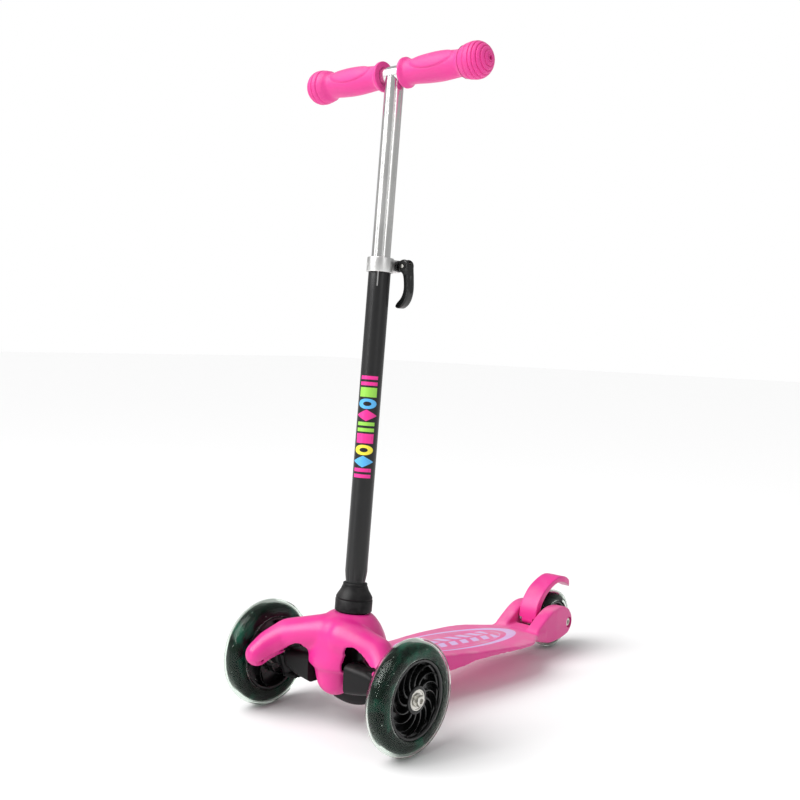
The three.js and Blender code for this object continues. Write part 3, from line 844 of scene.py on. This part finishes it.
# %% Cover openings
FAR_ARCH = [
    (24, 0), (24, 78), (25.5, 86), (29, 90.5), (35, 90), (44, 85.5), (53, 79), (60, 73), (66, 67),
    (70, 0)
]
NEAR_ARCH = [
    (25, 0), (25.5, 78), (27, 91), (32, 98.5), (41, 99.5), (49, 95), (55, 89), (62, 84), (66, 0)
]
UNDER_ARM = [
    (24, 0), (24, 78), (25.5, 86), (29, 90.5), (38, 89.5), (48, 86), (60, 84.5), (80, 86), (93, 87),
    (93, 0)
]
under = plate(UNDER_ARM, -62, 18, "front")
windows = [
    under, mirrored(under), mirrored(plate(FAR_ARCH, 17, 60, "front")),
    plate(NEAR_ARCH, -14, 60, "front")
]
underneath = block(-60, 60, 13.4, 100, 0, 69.5)
stem_hole = rod(16.5, up_stem(90), up_stem(140), STEM_FOOT, STEM)
cover = carved(outer, inner, underneath, *windows, stem_hole)
cover = lump(cover, 1.15, 5)
piece(cover, "cover_shell", "chassis", cover_pink, ["front_cover"])

# %% [markdown]
# ## The steering truck
# Under the cover a black nylon casting carries a socket for the stem and an eye pair for each
# kingpin. It is moulded too, so plates, rods and blocks are melted together, and then the
# rooms for the knuckles and the bores are cut clean.

# %% Truck casting
KINGPIN_X = 74  # from the middle to each kingpin
KINGPIN_Z = 60  # where the line of the wheel axles meets it
ARM_REACH = 30  # from a kingpin back to the end of the tie bar
TIE_DROP = 32.2  # the tie bar hangs this far below the arms, along the kingpin
BORE = 4.35  # the running bore for an 8 mm bolt


def kingpin_at(side):
    return Vector((side * KINGPIN_X, 0, KINGPIN_Z))


def on_kingpin(side, radius, start, end, bevel=0.0, steps=40):
    return rod(radius, start, end, kingpin_at(side), KINGPIN, bevel, steps)


BEAM = [
    (-66, 73), (-40, 77), (0, 78.6), (40, 77), (66, 73), (67, 56), (54, 50.5), (40, 47.5), (22, 45),
    (0, 44), (-22, 45), (-40, 47.5), (-54, 50.5), (-67, 56)
]
beam = soften(plate(flowing(BEAM, 3), -9, 14, "front"), 6.5, 5, 60)
dish = hull(((0, 24, 46), (44, 10.5, 25)), ((0, 24, 60), (30, 10.5, 14)))
masses = [
    beam, dish, rod(16, up_stem(46), up_stem(122), STEM_FOOT, STEM, 0.8),
    block(-26, 26, 28, 60, 44, 49.6, 1.2)
]
for side in (-1, 1):
    low, high = sorted((side * 58, side * 74))
    masses += [hull(((side * 28, 22, 56), (8, 8, 13)), ((side * 46, 2, 61), (8, 9, 12)))]
    masses += [on_kingpin(side, 9, 15.4, 21, 0.8), on_kingpin(side, 9, -21, -15.4, 0.8)]
    masses += [block(low, high, -12, 5, 73.6, 77.6, 1), block(low, high, -2, 14, 39, 43.5, 1)]
casting = lump(gather(*masses), 1.1, 6)
rooms = [block(-26.4, 26.4, -24, 14, 18, 92), rod(11, up_stem(66), up_stem(130), STEM_FOOT, STEM)]
for side in (-1, 1):
    rooms += [on_kingpin(side, 10.6, -15.2, 15.2), on_kingpin(side, 4.4, -30, 30)]
casting = carved(casting, *rooms)
piece(casting, "truck_casting", "chassis", black_nylon, ["truck_housing"])

# %% [markdown]
# Each front wheel turns on a knuckle, a short moulded arm round the leaning kingpin. A coil
# spring above the knuckle brings the steering back to straight. The coil is a wire ring spun
# with a rise at each step, which is how a spring winder feeds its wire.

# %% Knuckles, kingpins and springs
def coil(radius, wire, turns, pitch, origin, direction, steps=20):
    """Round wire wound round an axis, with closed ends."""
    bm = bmesh.new()
    stand = Matrix.Translation((radius, 0, 0)) @ Matrix.Rotation(math.pi / 2, 4, "X")
    bmesh.ops.create_circle(bm, cap_ends=False, segments=10, radius=wire, matrix=stand)
    count = round(turns * steps)
    bmesh.ops.spin(
        bm, geom=bm.edges[:] + bm.verts[:], angle=math.tau * turns, steps=count, axis=Z, cent=(0, 0, 0),
        dvec=(0, 0, pitch * turns / count), use_merge=False
    )
    bmesh.ops.holes_fill(bm, edges=[e for e in bm.edges if e.is_boundary], sides=0)
    bmesh.ops.recalc_face_normals(bm, faces=bm.faces)
    return placed(bm, origin, direction)


def knuckle(side):
    eye = on_kingpin(side, 9, -14.8, 9, 0.8)
    boss = rod(10, 7, 18, kingpin_at(side), X * side, 0.8)
    neck = hull((kingpin_at(side), 8.4), (kingpin_at(side) + X * side * 12, 8.2))
    elbow = kingpin_at(side) + KINGPIN_BACK * ARM_REACH
    arm_foot = kingpin_at(side) - KINGPIN * 6
    arm = hull((arm_foot, (4.6, 4.6, 6)), (arm_foot + KINGPIN_BACK * ARM_REACH, 4.4))
    drop = rod(5, -29, -1, elbow, KINGPIN, 0.6)
    body = lump(gather(eye, boss, neck, arm, drop), 0.8, 3)
    ends = [on_kingpin(side, 11, 9, 30), on_kingpin(side, 11, -22, -14.8)]
    bores = [on_kingpin(side, BORE, -20, 20), rod(BORE, 5, 26, kingpin_at(side), X * side)]
    return carved(body, *ends, *bores, rod(2, -30, -20, elbow, KINGPIN))


for label, side in SIDES.items():
    body = label + "_steer_arm"
    piece(knuckle(side), "knuckle_arm_" + label, body, black_nylon, ["knuckle_" + label])
    pin = gather(
        rod(4, -23, 22, bevel=0.4), placed(hexagon(6.5, 21.4, 25)), rod(2.2, 24.5, 25.3, bevel=0.2)
    )
    piece(
        placed(pin, kingpin_at(side), KINGPIN), "kingpin_bolt_" + label, "chassis", zinc,
        ["kingpin_" + label]
    )
    foot = kingpin_at(side) + KINGPIN * 10.3
    spring = coil(5.7, 0.75, 2.6, 1.55, foot, KINGPIN)
    piece(spring, "return_spring_" + label, "chassis", spring_steel, ["steer_spring_" + label])

# %% [markdown]
# The two knuckles turn together because a bar joins their rear arms. The bar is held from
# below by a screw at each end.

# %% Tie bar and its screws
def link_point(side):
    return kingpin_at(side) + KINGPIN_BACK * ARM_REACH


bar_line = link_point(0) - KINGPIN * TIE_DROP
bar_line.x = 0
eyes = [rod(6, -35, -29.4, link_point(side), KINGPIN, 0.7) for side in (-1, 1)]
tie = lump(
    gather(
        rod(2.8, -KINGPIN_X, KINGPIN_X, bar_line, X),
        block(-60, 60, bar_line.y - 0.9, bar_line.y + 0.9, bar_line.z - 3.4, bar_line.z + 3.4, 0.5),
        *eyes
    ),
    0.7, 3
)
tie = carved(tie, *[rod(2.4, -40, -25, link_point(side), KINGPIN) for side in (-1, 1)])
piece(tie, "tie_bar", "steer_link", black_nylon, ["tie_rod"])
for label, side in SIDES.items():
    head = carved(rod(3.6, -38, -35.4, bevel=0.5), placed(hexagon(1.7, -39, -36.6, 0.1)))
    screw = gather(rod(1.7, -36, -21, bevel=0.3), head)
    piece(
        placed(screw, link_point(side), KINGPIN), "tie_cap_screw_" + label, "steer_link", zinc,
        ["tie_screw_" + label]
    )

# %% [markdown]
# ## The wheels
# A wheel is a black hub with curved fan vanes, a green core cast round it, and a clear tyre
# over the core. Everything round is turned. One vane is extruded from its curved outline and
# spun as loose copies. All three wheels come from the same function with their own sizes.

# %% Wheel parts
TYRE_HALF = 12.0
HUB_HALF = 11.0


def tyre_line(bore, radius, shrink):
    """Half of a tyre's cross-section, from the middle of the tread to the bead."""
    half = TYRE_HALF - shrink
    tread = radius - shrink
    side = [
        (tread, 0), (tread - 0.15, 3.2), (tread - 0.9, 6.2), (tread - 2.6, 8.8 - shrink * 0.4),
        (tread - 5.4, 10.9 - shrink * 0.7), (tread - 9.2, half - 0.2), (bore + 1.4, half),
        (bore + 0.5, half - 0.3), (bore, half - 1.0)
    ]
    return side + [(r, -h) for r, h in reversed(side[1:])]


def vane(inner_r, outer_r, thick, low, high, sweep):
    """One curved blade, swept back as it goes outwards."""
    edge, back = [], []
    for i in range(9):
        share = i / 8
        r = inner_r + (outer_r - inner_r) * share
        angle = -sweep * share ** 1.6
        width = thick * (1.15 - 0.45 * math.sin(math.pi * share)) / r / 2
        edge.append((r * math.cos(angle + width), r * math.sin(angle + width)))
        back.append((r * math.cos(angle - width), r * math.sin(angle - width)))
    return soften(plate(edge + back[::-1], low, high, "plan"), 0.5, 2, 50)


def copies_round(bm, count):
    """The shape and its copies, evenly round +Z."""
    step = math.tau / count
    bmesh.ops.spin(
        bm, geom=bm.verts[:] + bm.edges[:] + bm.faces[:], angle=step * (count - 1), steps=count - 1,
        axis=Z, cent=(0, 0, 0), use_duplicate=True, use_merge=False
    )
    return bm


def hub(rim, vanes):
    half = HUB_HALF
    rim_ring = turned(
        [
            (rim, -half + 0.6), (rim, half - 0.6), (rim - 0.6, half), (rim - 2.6, half),
            (rim - 3.4, half - 0.8), (rim - 3.8, half - 3), (rim - 3.8, -half + 3), (rim - 2.6, -half),
            (rim - 0.6, -half)
        ],
        96
    )
    step_ring = turned(
        [(rim - 3.4, 1.2), (rim - 3.4, half - 3.4), (rim - 5.4, half - 4.2), (rim - 6.4, 1.2)], 96
    )
    boss = turned(
        [
            (11.35, half), (12.2, half), (14.2, half - 0.7), (14.8, half - 2.2), (15.4, 1), (15.4, -1),
            (14.8, 2.2 - half), (14.2, 0.7 - half), (12.2, -half), (11.35, -half), (11.35, -half + 7.2),
            (8.5, -half + 7.2), (8.5, half - 7.2), (11.35, half - 7.2)
        ],
        72
    )
    web = soften(turned([(14, -1.3), (rim - 3, -1.3), (rim - 3, 1.3), (14, 1.3)], 96), 0.3)
    blades = copies_round(vane(14, rim - 3.2, 2.3, 0.5, half - 1.6, 0.85), vanes)
    back = copies_round(vane(14, rim - 3.2, 2.0, 2.5 - half, -0.5, 0.85), vanes // 2)
    return gather(rim_ring, step_ring, boss, web, blades, back)


def bearing():
    """A shielded ball bearing, seen from its face."""
    outer = turned(
        [(9.2, 0.25), (9.4, 0), (10.7, 0), (11, 0.3), (11, 6.7), (10.7, 7), (9.4, 7), (9.2, 6.75)], 64
    )
    shield = turned([(6.6, 0.8), (7.2, 0.55), (9.25, 0.55), (9.25, 6.45), (7.2, 6.45), (6.6, 6.2)], 64)
    inner = turned(
        [(4.3, 0.3), (4.6, 0), (6.2, 0), (6.5, 0.3), (6.5, 6.7), (6.2, 7), (4.6, 7), (4.3, 6.7)], 64
    )
    return gather(outer, shield, inner)


# %% Three wheels
SKIN = 2.3  # the clear tyre over the tread of the core
AIR = 0.12  # between the core and the clear tyre


def wheel(label, body, centre, direction, radius, rim, vanes):
    names = "rear_wheel" if label == "rear" else "wheel_" + label
    bore = rim + 0.35
    core_radius = radius - SKIN
    core = turned(tyre_line(bore + 0.2, core_radius, 1.1), 120)
    skin = turned(tyre_line(bore, radius, 0), 144)
    hollow = tyre_line(bore + AIR, core_radius + AIR, 1.0)
    skin = carved(skin, turned(hollow, 144))
    piece(placed(core, centre, direction), "tyre_core_" + label, body, core_green)
    piece(placed(skin, centre, direction), "tyre_skin_" + label, body, clear_skin, [names + "_tyre"])
    piece(
        placed(hub(rim, vanes), centre, direction), "fan_hub_" + label, body, gloss_nylon,
        [names + "_hub"]
    )
    for place, start in (("outer", HUB_HALF - 7), ("inner", -HUB_HALF)):
        shape = bearing()
        bmesh.ops.translate(shape, vec=(0, 0, start), verts=shape.verts)
        piece(
            placed(shape, centre, direction), f"ball_bearing_{label}_{place}", body, zinc,
            [f"{names}_bearing_{place}"]
        )


for label, side in SIDES.items():
    centre = Vector((side * WHEEL_X, 0, FRONT_R))
    wheel(label, label + "_wheel", centre, X * side, FRONT_R, rim=41, vanes=13)
wheel("rear", "back_wheel", REAR_WHEEL, X, REAR_WHEEL.z, rim=25, vanes=8)

# %% [markdown]
# The axles are bolts with a hexagon socket in a domed washer head. The rear one goes through
# both fork cheeks, and a nut closes it inside the recess.

# %% Axle bolts, nut and spacers
def bolt_head(radius, start, height):
    """A low hexagon head on a washer face, with a hexagon socket."""
    washer = turned(
        [
            (0, start), (radius * 1.02, start), (radius * 1.02, start + 0.7),
            (radius * 0.9, start + 1.0), (0, start + 1.0)
        ],
        48, closed=False
    )
    head = hexagon(radius * 0.96, start + 0.9, start + height, 0.5)
    return gather(
        washer, carved(head, hexagon(radius * 0.48, start + height - 2.2, start + height + 1, 0.05))
    )


head_start = WHEEL_X + TYRE_HALF - 0.7
for label, side in SIDES.items():
    bolt = gather(rod(4, 81, head_start + 0.5, bevel=0.3), bolt_head(6.3, head_start, 4.2))
    body = label + "_steer_arm"
    piece(
        placed(bolt, (0, 0, FRONT_R), X * side), "axle_screw_" + label, body, zinc,
        ["axle_bolt_" + label]
    )
    spacer = ring(6.4, BORE, WHEEL_X - 3.6, WHEEL_X + 3.6, (0, 0, FRONT_R), X * side)
    piece(spacer, "axle_tube_" + label, body, cast_metal, ["axle_spacer_" + label])
rear_bolt = gather(rod(4, -28, 27, bevel=0.3), bolt_head(6.3, 26.6, 4.0))
piece(placed(rear_bolt, REAR_WHEEL, X), "rear_axle_screw", "chassis", zinc, ["rear_axle_bolt"])
rear_nut = carved(hexagon(6.6, -31, -26.4), rod(BORE, -40, -20))
piece(placed(rear_nut, REAR_WHEEL, X), "rear_lock_nut", "chassis", zinc, ["rear_axle_nut"])
piece(
    ring(6.4, BORE, -3.6, 3.6, REAR_WHEEL, X), "rear_axle_tube", "chassis", cast_metal,
    ["rear_axle_spacer"]
)

# %% [markdown]
# ## The foot brake
# The brake is a curved pink fin over the rear wheel. Stepping on it turns it about a pin in the
# board until its underside rubs on the tyre, and two small springs lift it again.

# %% Brake fender
FIN_TOP = [
    (378.5, 47), (379.5, 60), (384, 70.5), (392, 80), (403, 88.5), (420, 95.8), (437, 99.5),
    (454, 96.8), (467, 90), (477, 81.5)
]
FIN_UNDER = [
    (475.6, 78.4), (464, 84), (452, 88.8), (437, 91.6), (422, 88), (409, 81.5), (399, 73), (392, 63),
    (389.2, 54), (389.6, 47)
]
fin = plate(
    flowing(FIN_TOP, 4, closed=False) + flowing(FIN_UNDER, 4, closed=False), -13.5, 13.5, "side"
)
FIN_PLAN = [
    (-13.5, 370), (13.5, 370), (13.5, 450), (11, 466), (5.5, 477), (-5.5, 477), (-11, 466),
    (-13.5, 450)
]
plan = soften(plate(FIN_PLAN, 0, 120, "plan"), 2.4, 4, 20)
fin = soften(carved(fin, plan, operation="INTERSECT"), 1.6, 3, 45)
fin_boss = rod(5.6, -13.5, 13.5, BRAKE_PIN, X, 0.6)
fender = lump(gather(fin, fin_boss), 0.85, 4)
spring_rooms = [rod(6.4, 8.4, 16, BRAKE_PIN, X), rod(6.4, -16, -8.4, BRAKE_PIN, X)]
fender = carved(fender, rod(2.9, -20, 20, BRAKE_PIN, X, steps=32), *spring_rooms)
piece(fender, "brake_fin", "foot_brake", cover_pink, ["brake_lever"])
pin = rod(2.5, -21.5, 21.5, BRAKE_PIN, X, 0.4)
piece(pin, "brake_pivot", "chassis", zinc, ["brake_pin"])
for label, side in SIDES.items():
    wound = coil(4.3, 0.65, 2.4, 1.5, BRAKE_PIN + X * side * 9.2, X * side)
    piece(wound, "brake_coil_" + label, "chassis", spring_steel, ["brake_spring_" + label])

# %% [markdown]
# ## The stem
# A ribbed black collar closes the cover round the stem. The black tube is drawn in at its foot
# and pressed with short flutes there, and it is slotted at the top, so that the clamp ring can
# squeeze it on the bright inner tube.

# %% Collar and black tube
def on_stem(bm):
    return placed(bm, STEM_FOOT, STEM)


def stem_turned(profile, steps=96):
    return on_stem(turned([(r, up_stem(z)) for r, z in profile], steps))


COLLAR = [
    (20.1, 124), (20.5, 124.4), (20.5, 136.2), (20.1, 136.7), (19.4, 136.9), (19.3, 137.9),
    (20.0, 138.1), (20.2, 138.6), (19.9, 139.4), (18.2, 142.6), (16.6, 145.0), (15.4, 147),
    (14.4, 149.6), (14.1, 150.6), (13.5, 150.9), (13.4, 153.6), (13.0, 154.2), (11.1, 154.2),
    (11.1, 124)
]
piece(stem_turned(COLLAR), "stem_collar", "chassis", black_nylon, ["socket_collar"])

TUBE = [
    (10.6, 68), (10.6, 152), (10.6, 154), (10.7, 156), (11.0, 158), (11.3, 160), (11.6, 162),
    (11.9, 164.5), (12.2, 167), (12.2, 172)
]
TUBE += [(12.2, 172 + 20 * i) for i in range(1, 16)] + [
    (12.2, 499.4), (11.9, 500), (10.8, 500), (10.8, 168), (9.2, 157), (9.2, 68)
]
black_tube = turned([(r, up_stem(z)) for r, z in TUBE], 120)
for v in black_tube.verts:
    radius = math.hypot(v.co.x, v.co.y)
    height = v.co.z + STEM_FOOT.z
    if radius > 10.5 and 153 < height < 172:
        fade = math.sin(math.pi * (height - 153) / 19)
        press = 1 - 0.045 * fade * max(0, math.cos(12 * math.atan2(v.co.y, v.co.x))) ** 2
        v.co.x *= press
        v.co.y *= press
slots = []
for turn in (0, math.radians(-148)):
    slot = block(-1.1, 1.1, 4, 20, up_stem(479), up_stem(515))
    slot = gather(slot, rod(1.1, 4, 20, (0, 0, up_stem(479)), Y))
    bmesh.ops.rotate(slot, cent=(0, 0, 0), matrix=Matrix.Rotation(turn, 3, "Z"), verts=slot.verts)
    slots.append(slot)
black_tube = on_stem(carved(black_tube, *slots, solver="EXACT"))
piece(black_tube, "black_stem_tube", "chassis", tube_black, ["lower_tube"])

# %% [markdown]
# The clamp is a split ring with two ears behind the tube. A bolt with a round nut on one end
# and a cam lever on the other pulls the ears together. The lever is a hooked plate, moulded
# round, with a fork that straddles the eye of the bolt.

# %% Clamp ring, bolt and nut
nut_at = place_of("clamp_nut")
CLAMP = Vector((0, nut_at.y, nut_at.z))
CLAMP_RING = [
    (14.6, 493.5), (14.6, 509.5), (10.75, 509.5), (10.75, 500.6), (12.6, 500.4), (12.6, 493.5)
]
ears = soften(block(-8, 8, CLAMP.y - 9, CLAMP.y + 6.5, CLAMP.z - 7, CLAMP.z + 7), 2.2, 4, 50)
band = soften(stem_turned(CLAMP_RING), 0.7, 3)
ears = carved(ears, on_stem(rod(13.6, up_stem(485), up_stem(520))), solver="EXACT")
split = block(-1.3, 1.3, CLAMP.y - 13, CLAMP.y + 9, 485, 520)
clamp = carved(
    carved(band, ears, operation="UNION", solver="EXACT"), split, rod(3, -10, 10, CLAMP, X),
    solver="EXACT"
)
set_screw = on_stem(rod(1.6, 14.0, 14.9, (0, 0, up_stem(501.5)), Vector((-0.55, -0.83, 0)), 0.3, 24))
piece(gather(clamp, set_screw), "clamp_band", "chassis", cast_metal, ["clamp_ring"])
nut = carved(rod(6, -12.6, -8.4, bevel=0.8), rod(2.9, -14, -5), solver="EXACT")
piece(placed(nut, CLAMP, X), "clamp_round_nut", "chassis", gloss_nylon, ["clamp_nut"])
washer = carved(rod(6.4, 8.4, 12.2, bevel=0.9), rod(2.9, 5, 15), solver="EXACT")
piece(placed(washer, CLAMP, X), "clamp_cup_washer", "chassis", gloss_nylon, ["cam_washer"])
CAM = CLAMP + X * 20
eye = carved(
    gather(rod(2.5, -15, 16.4, CLAMP, X, 0.4), rod(4.6, -2.6, 2.6, CAM, Y, 0.4)),
    rod(2.35, -10, 10, CAM, Y), solver="EXACT"
)
piece(eye, "clamp_eye_bolt", "chassis", zinc, ["clamp_bolt"])
piece(rod(2, -7, 7, CAM, Y, 0.4), "cam_pivot_pin", "chassis", zinc, ["cam_pin"])

# %% Cam lever
LEVER = [
    (7, 0), (6.4, 4), (3.5, 6.6), (0, 7.4), (-4, 6.4), (-6.8, 3), (-7.2, -1), (-5.4, -5), (-0.5, -9),
    (1.4, -18), (1.2, -27), (-2, -34.5), (-8, -40.5), (-9.5, -44.5), (-4.6, -46), (2, -42), (6.4, -35),
    (8.4, -26), (8.2, -14), (7.6, -6)
]
lever = soften(
    plate(flowing([(x + CAM.x, z + CAM.z) for x, z in LEVER], 4), -CAM.y - 5.5, -CAM.y + 5.5, "front"),
    2.2, 4, 50
)
lever = lump(gather(lever, rod(6.9, -5.9, 5.9, CAM, Y, 0.9)), 0.55, 3)
cam_room = block(CAM.x - 9, CAM.x + 5.6, CAM.y - 3.1, CAM.y + 3.1, CAM.z - 5, CAM.z + 9)
thumb_dish = hull(
    ((CAM.x + 9.4, CAM.y, CAM.z - 16), (2.2, 3.4, 8)),
    ((CAM.x + 9.6, CAM.y, CAM.z - 26), (2.2, 3.4, 6))
)
cam_room_above = block(CAM.x + 5.4, CAM.x + 9, CAM.y - 3.1, CAM.y + 3.1, CAM.z + 1.5, CAM.z + 9)
lever = carved(lever, cam_room, cam_room_above, rod(2.35, -10, 10, CAM, Y), thumb_dish, solver="EXACT")
piece(lever, "cam_hook_lever", "clamp_lever", gloss_nylon, ["cam_lever"])

# %% [markdown]
# The inner tube is drawn aluminium with shallow key grooves along it. A cross-section circle is
# pulled in at the grooves and extruded up the stem. The crossbar lies across its top, which is
# coped to fit, and both ends of the bar carry a soft pink sleeve.

# %% Bright tube and crossbar
GROOVES = [math.radians(a) for a in (8, 52, 98, 188, 232, 278)]
bright = turned([(10.4, up_stem(350)), (10.4, up_stem(706)), (9, up_stem(706)), (9, up_stem(350))], 288)
for v in bright.verts:
    if math.hypot(v.co.x, v.co.y) > 10:
        angle = math.atan2(v.co.x, -v.co.y) % math.tau
        near = min(abs(angle - groove) for groove in GROOVES)
        depth = 0.45 * max(0, 1 - (near / 0.085) ** 4)
        v.co.x *= 1 - depth / 10.4
        v.co.y *= 1 - depth / 10.4
bright = carved(on_stem(bright), rod(9.85, -30, 30, BAR, X), solver="EXACT")
piece(bright, "bright_stem_tube", "t_bar", stem_metal, ["upper_tube"])
cross = turned([(9.5, -121), (9.5, 121), (8, 121), (8, -121)], 120)
piece(placed(soften(cross, 0.4), BAR, X), "cross_tube", "t_bar", bar_metal, ["crossbar"])

# %% [markdown]
# ## The grips
# A grip starts with a thick collar, narrows, swells under the palm and ends in a mushroom with
# rings cut in it. The whole sleeve is one spun profile. The raised palm panel is an oval
# of its skin pushed out afterwards, with a narrow border, so that it reads as moulded on.

# %% Grip sleeves
def grip_profile():
    neck = flowing(
        [
            (16.4, 18.0), (15.6, 19.2), (13.9, 22), (13.4, 25.5), (13.5, 31), (14.4, 42), (15.1, 54),
            (15.2, 66), (14.6, 78), (14.0, 88), (14.5, 92), (16.9, 96.4)
        ],
        5, closed=False
    )
    ball = []
    for i in range(97):
        share = i / 96
        angle = math.radians(-44 + 124 * share)
        reach = 27 if angle < 0 else 17.3
        cut = 1.05 * max(0, math.cos(math.tau * 8 * share)) ** 3 if 0.16 < share < 0.99 else 0
        r = (19.2 - cut) * math.cos(angle)
        ball.append((r, 110.4 + (reach - cut) * math.sin(angle)))
    head = [(9.8, 15), (15.9, 15), (16.4, 15.5)]
    return head + neck + ball[3:] + [(2.6, 127.7), (2.4, 127.3), (2.4, 121.6), (9.8, 121.6)]


def grip(side):
    bm = turned(grip_profile(), 128)
    for v in bm.verts:
        radius = math.hypot(v.co.x, v.co.y)
        if radius > 12 and 25 < v.co.z < 95:
            # in the spun frame the panel is found by its angle from forward and up
            world = Z.rotation_difference(X * side).to_matrix() @ v.co
            angle = math.atan2(world.z, -world.y)
            turn = (angle - math.radians(35)) / math.radians(46)
            reach = (v.co.z - 58) / 29
            edge = math.sqrt(turn * turn + reach * reach)
            lift = 0.9 * max(0.0, min(1.0, (1.0 - edge) / 0.07))
            border = -0.35 if 1.0 < edge < 1.08 else 0
            v.co.x *= 1 + (lift + border) / radius
            v.co.y *= 1 + (lift + border) / radius
    return placed(bm, BAR, X * side)


for label, side in SIDES.items():
    piece(grip(side), "grip_sleeve_" + label, "t_bar", grip_pink, ["grip_" + label])

# %% [markdown]
# ## Floor, light and camera
# The scooter stands on a pale floor in a plain pale room. Two large soft lamps do the work of
# studio boxes, a third is narrow and gives the clear tyres their straight glints.

# %% Floor and lamps
floor_mesh = bmesh.new()
bmesh.ops.create_grid(floor_mesh, x_segments=1, y_segments=1, size=14)
floor_data = bpy.data.meshes.new("floor")
floor_mesh.to_mesh(floor_data)
floor = bpy.data.objects.new("floor", floor_data)
bpy.context.scene.collection.objects.link(floor)
floor.location = (0, 0, -0.0006)
floor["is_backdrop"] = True
paper = bpy.data.materials.new("pale_paper")
paper.use_nodes = True
sheet = paper.node_tree.nodes["Principled BSDF"]
sheet.inputs["Base Color"].default_value = (0.95, 0.95, 0.95, 1)
sheet.inputs["Roughness"].default_value = 0.75
floor_data.materials.append(paper)

ROOM_LIGHT = 0.45  # the room lights the scooter less than it shows behind it
world = bpy.data.worlds.new("pale_room")
bpy.context.scene.world = world
world.use_nodes = True
room_tree = world.node_tree
room = room_tree.nodes["Background"]
seen = node(room_tree, "ShaderNodeLightPath").outputs["Is Camera Ray"]
room_tree.links.new(
    maths(room_tree, "MULTIPLY_ADD", seen, 1.0 - ROOM_LIGHT, ROOM_LIGHT), room.inputs["Strength"]
)
room.inputs["Color"].default_value = (1, 1, 1, 1)
bpy.context.scene.view_settings.view_transform = "Standard"


def lamp(name, spot, target, size, power):
    data = bpy.data.lights.new(name, "AREA")
    data.shape = "RECTANGLE"
    data.size, data.size_y = size
    data.energy = power
    obj = bpy.data.objects.new(name, data)
    bpy.context.scene.collection.objects.link(obj)
    obj.location = spot
    obj.rotation_euler = (Vector(target) - Vector(spot)).to_track_quat("-Z", "Y").to_euler()
    return obj


sky = bpy.data.lights.new("soft_sun", "SUN")
sky.energy = 2.5
sky.angle = math.radians(50)
soft_sun = bpy.data.objects.new("soft_sun", sky)
soft_sun.rotation_euler = (math.radians(34), math.radians(-22), 0)
bpy.context.scene.collection.objects.link(soft_sun)
lamp("key_lamp", (-1.2, -1.6, 1.4), (0, 0, 0.3), (1.0, 1.4), 9)
lamp("fill_lamp", (1.9, -0.6, 1.3), (0, 0, 0.3), (0.7, 1.6), 5)
lamp("strip_lamp", (-0.5, -1.9, 0.9), (0.1, -0.2, 0.1), (0.10, 1.5), 5)
print("lamps", len(bpy.data.lights))

# %% Camera
camera_data = bpy.data.cameras.new("camera")
camera_data.lens = 46.24
camera_data.sensor_width = 36
camera = bpy.data.objects.new("camera", camera_data)
bpy.context.scene.collection.objects.link(camera)
facing = Matrix.Rotation(math.radians(40.157), 4, "Z")
facing = facing @ Matrix.Rotation(math.radians(90 - 3.438), 4, "X")
facing = facing @ Matrix.Rotation(math.radians(2.065), 4, "Z")
camera.matrix_world = Matrix.Translation((0.748922, -1.002387, 0.42293)) @ facing
bpy.context.scene.camera = camera

# %% [markdown]
# At the end the size of everything shown is printed. The finer skins must stay in the box of
# the CAD model, because the shape is a measured one.

# %% Sizes
low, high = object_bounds()
print("visual size", [round(v, 4) for v in high - low])
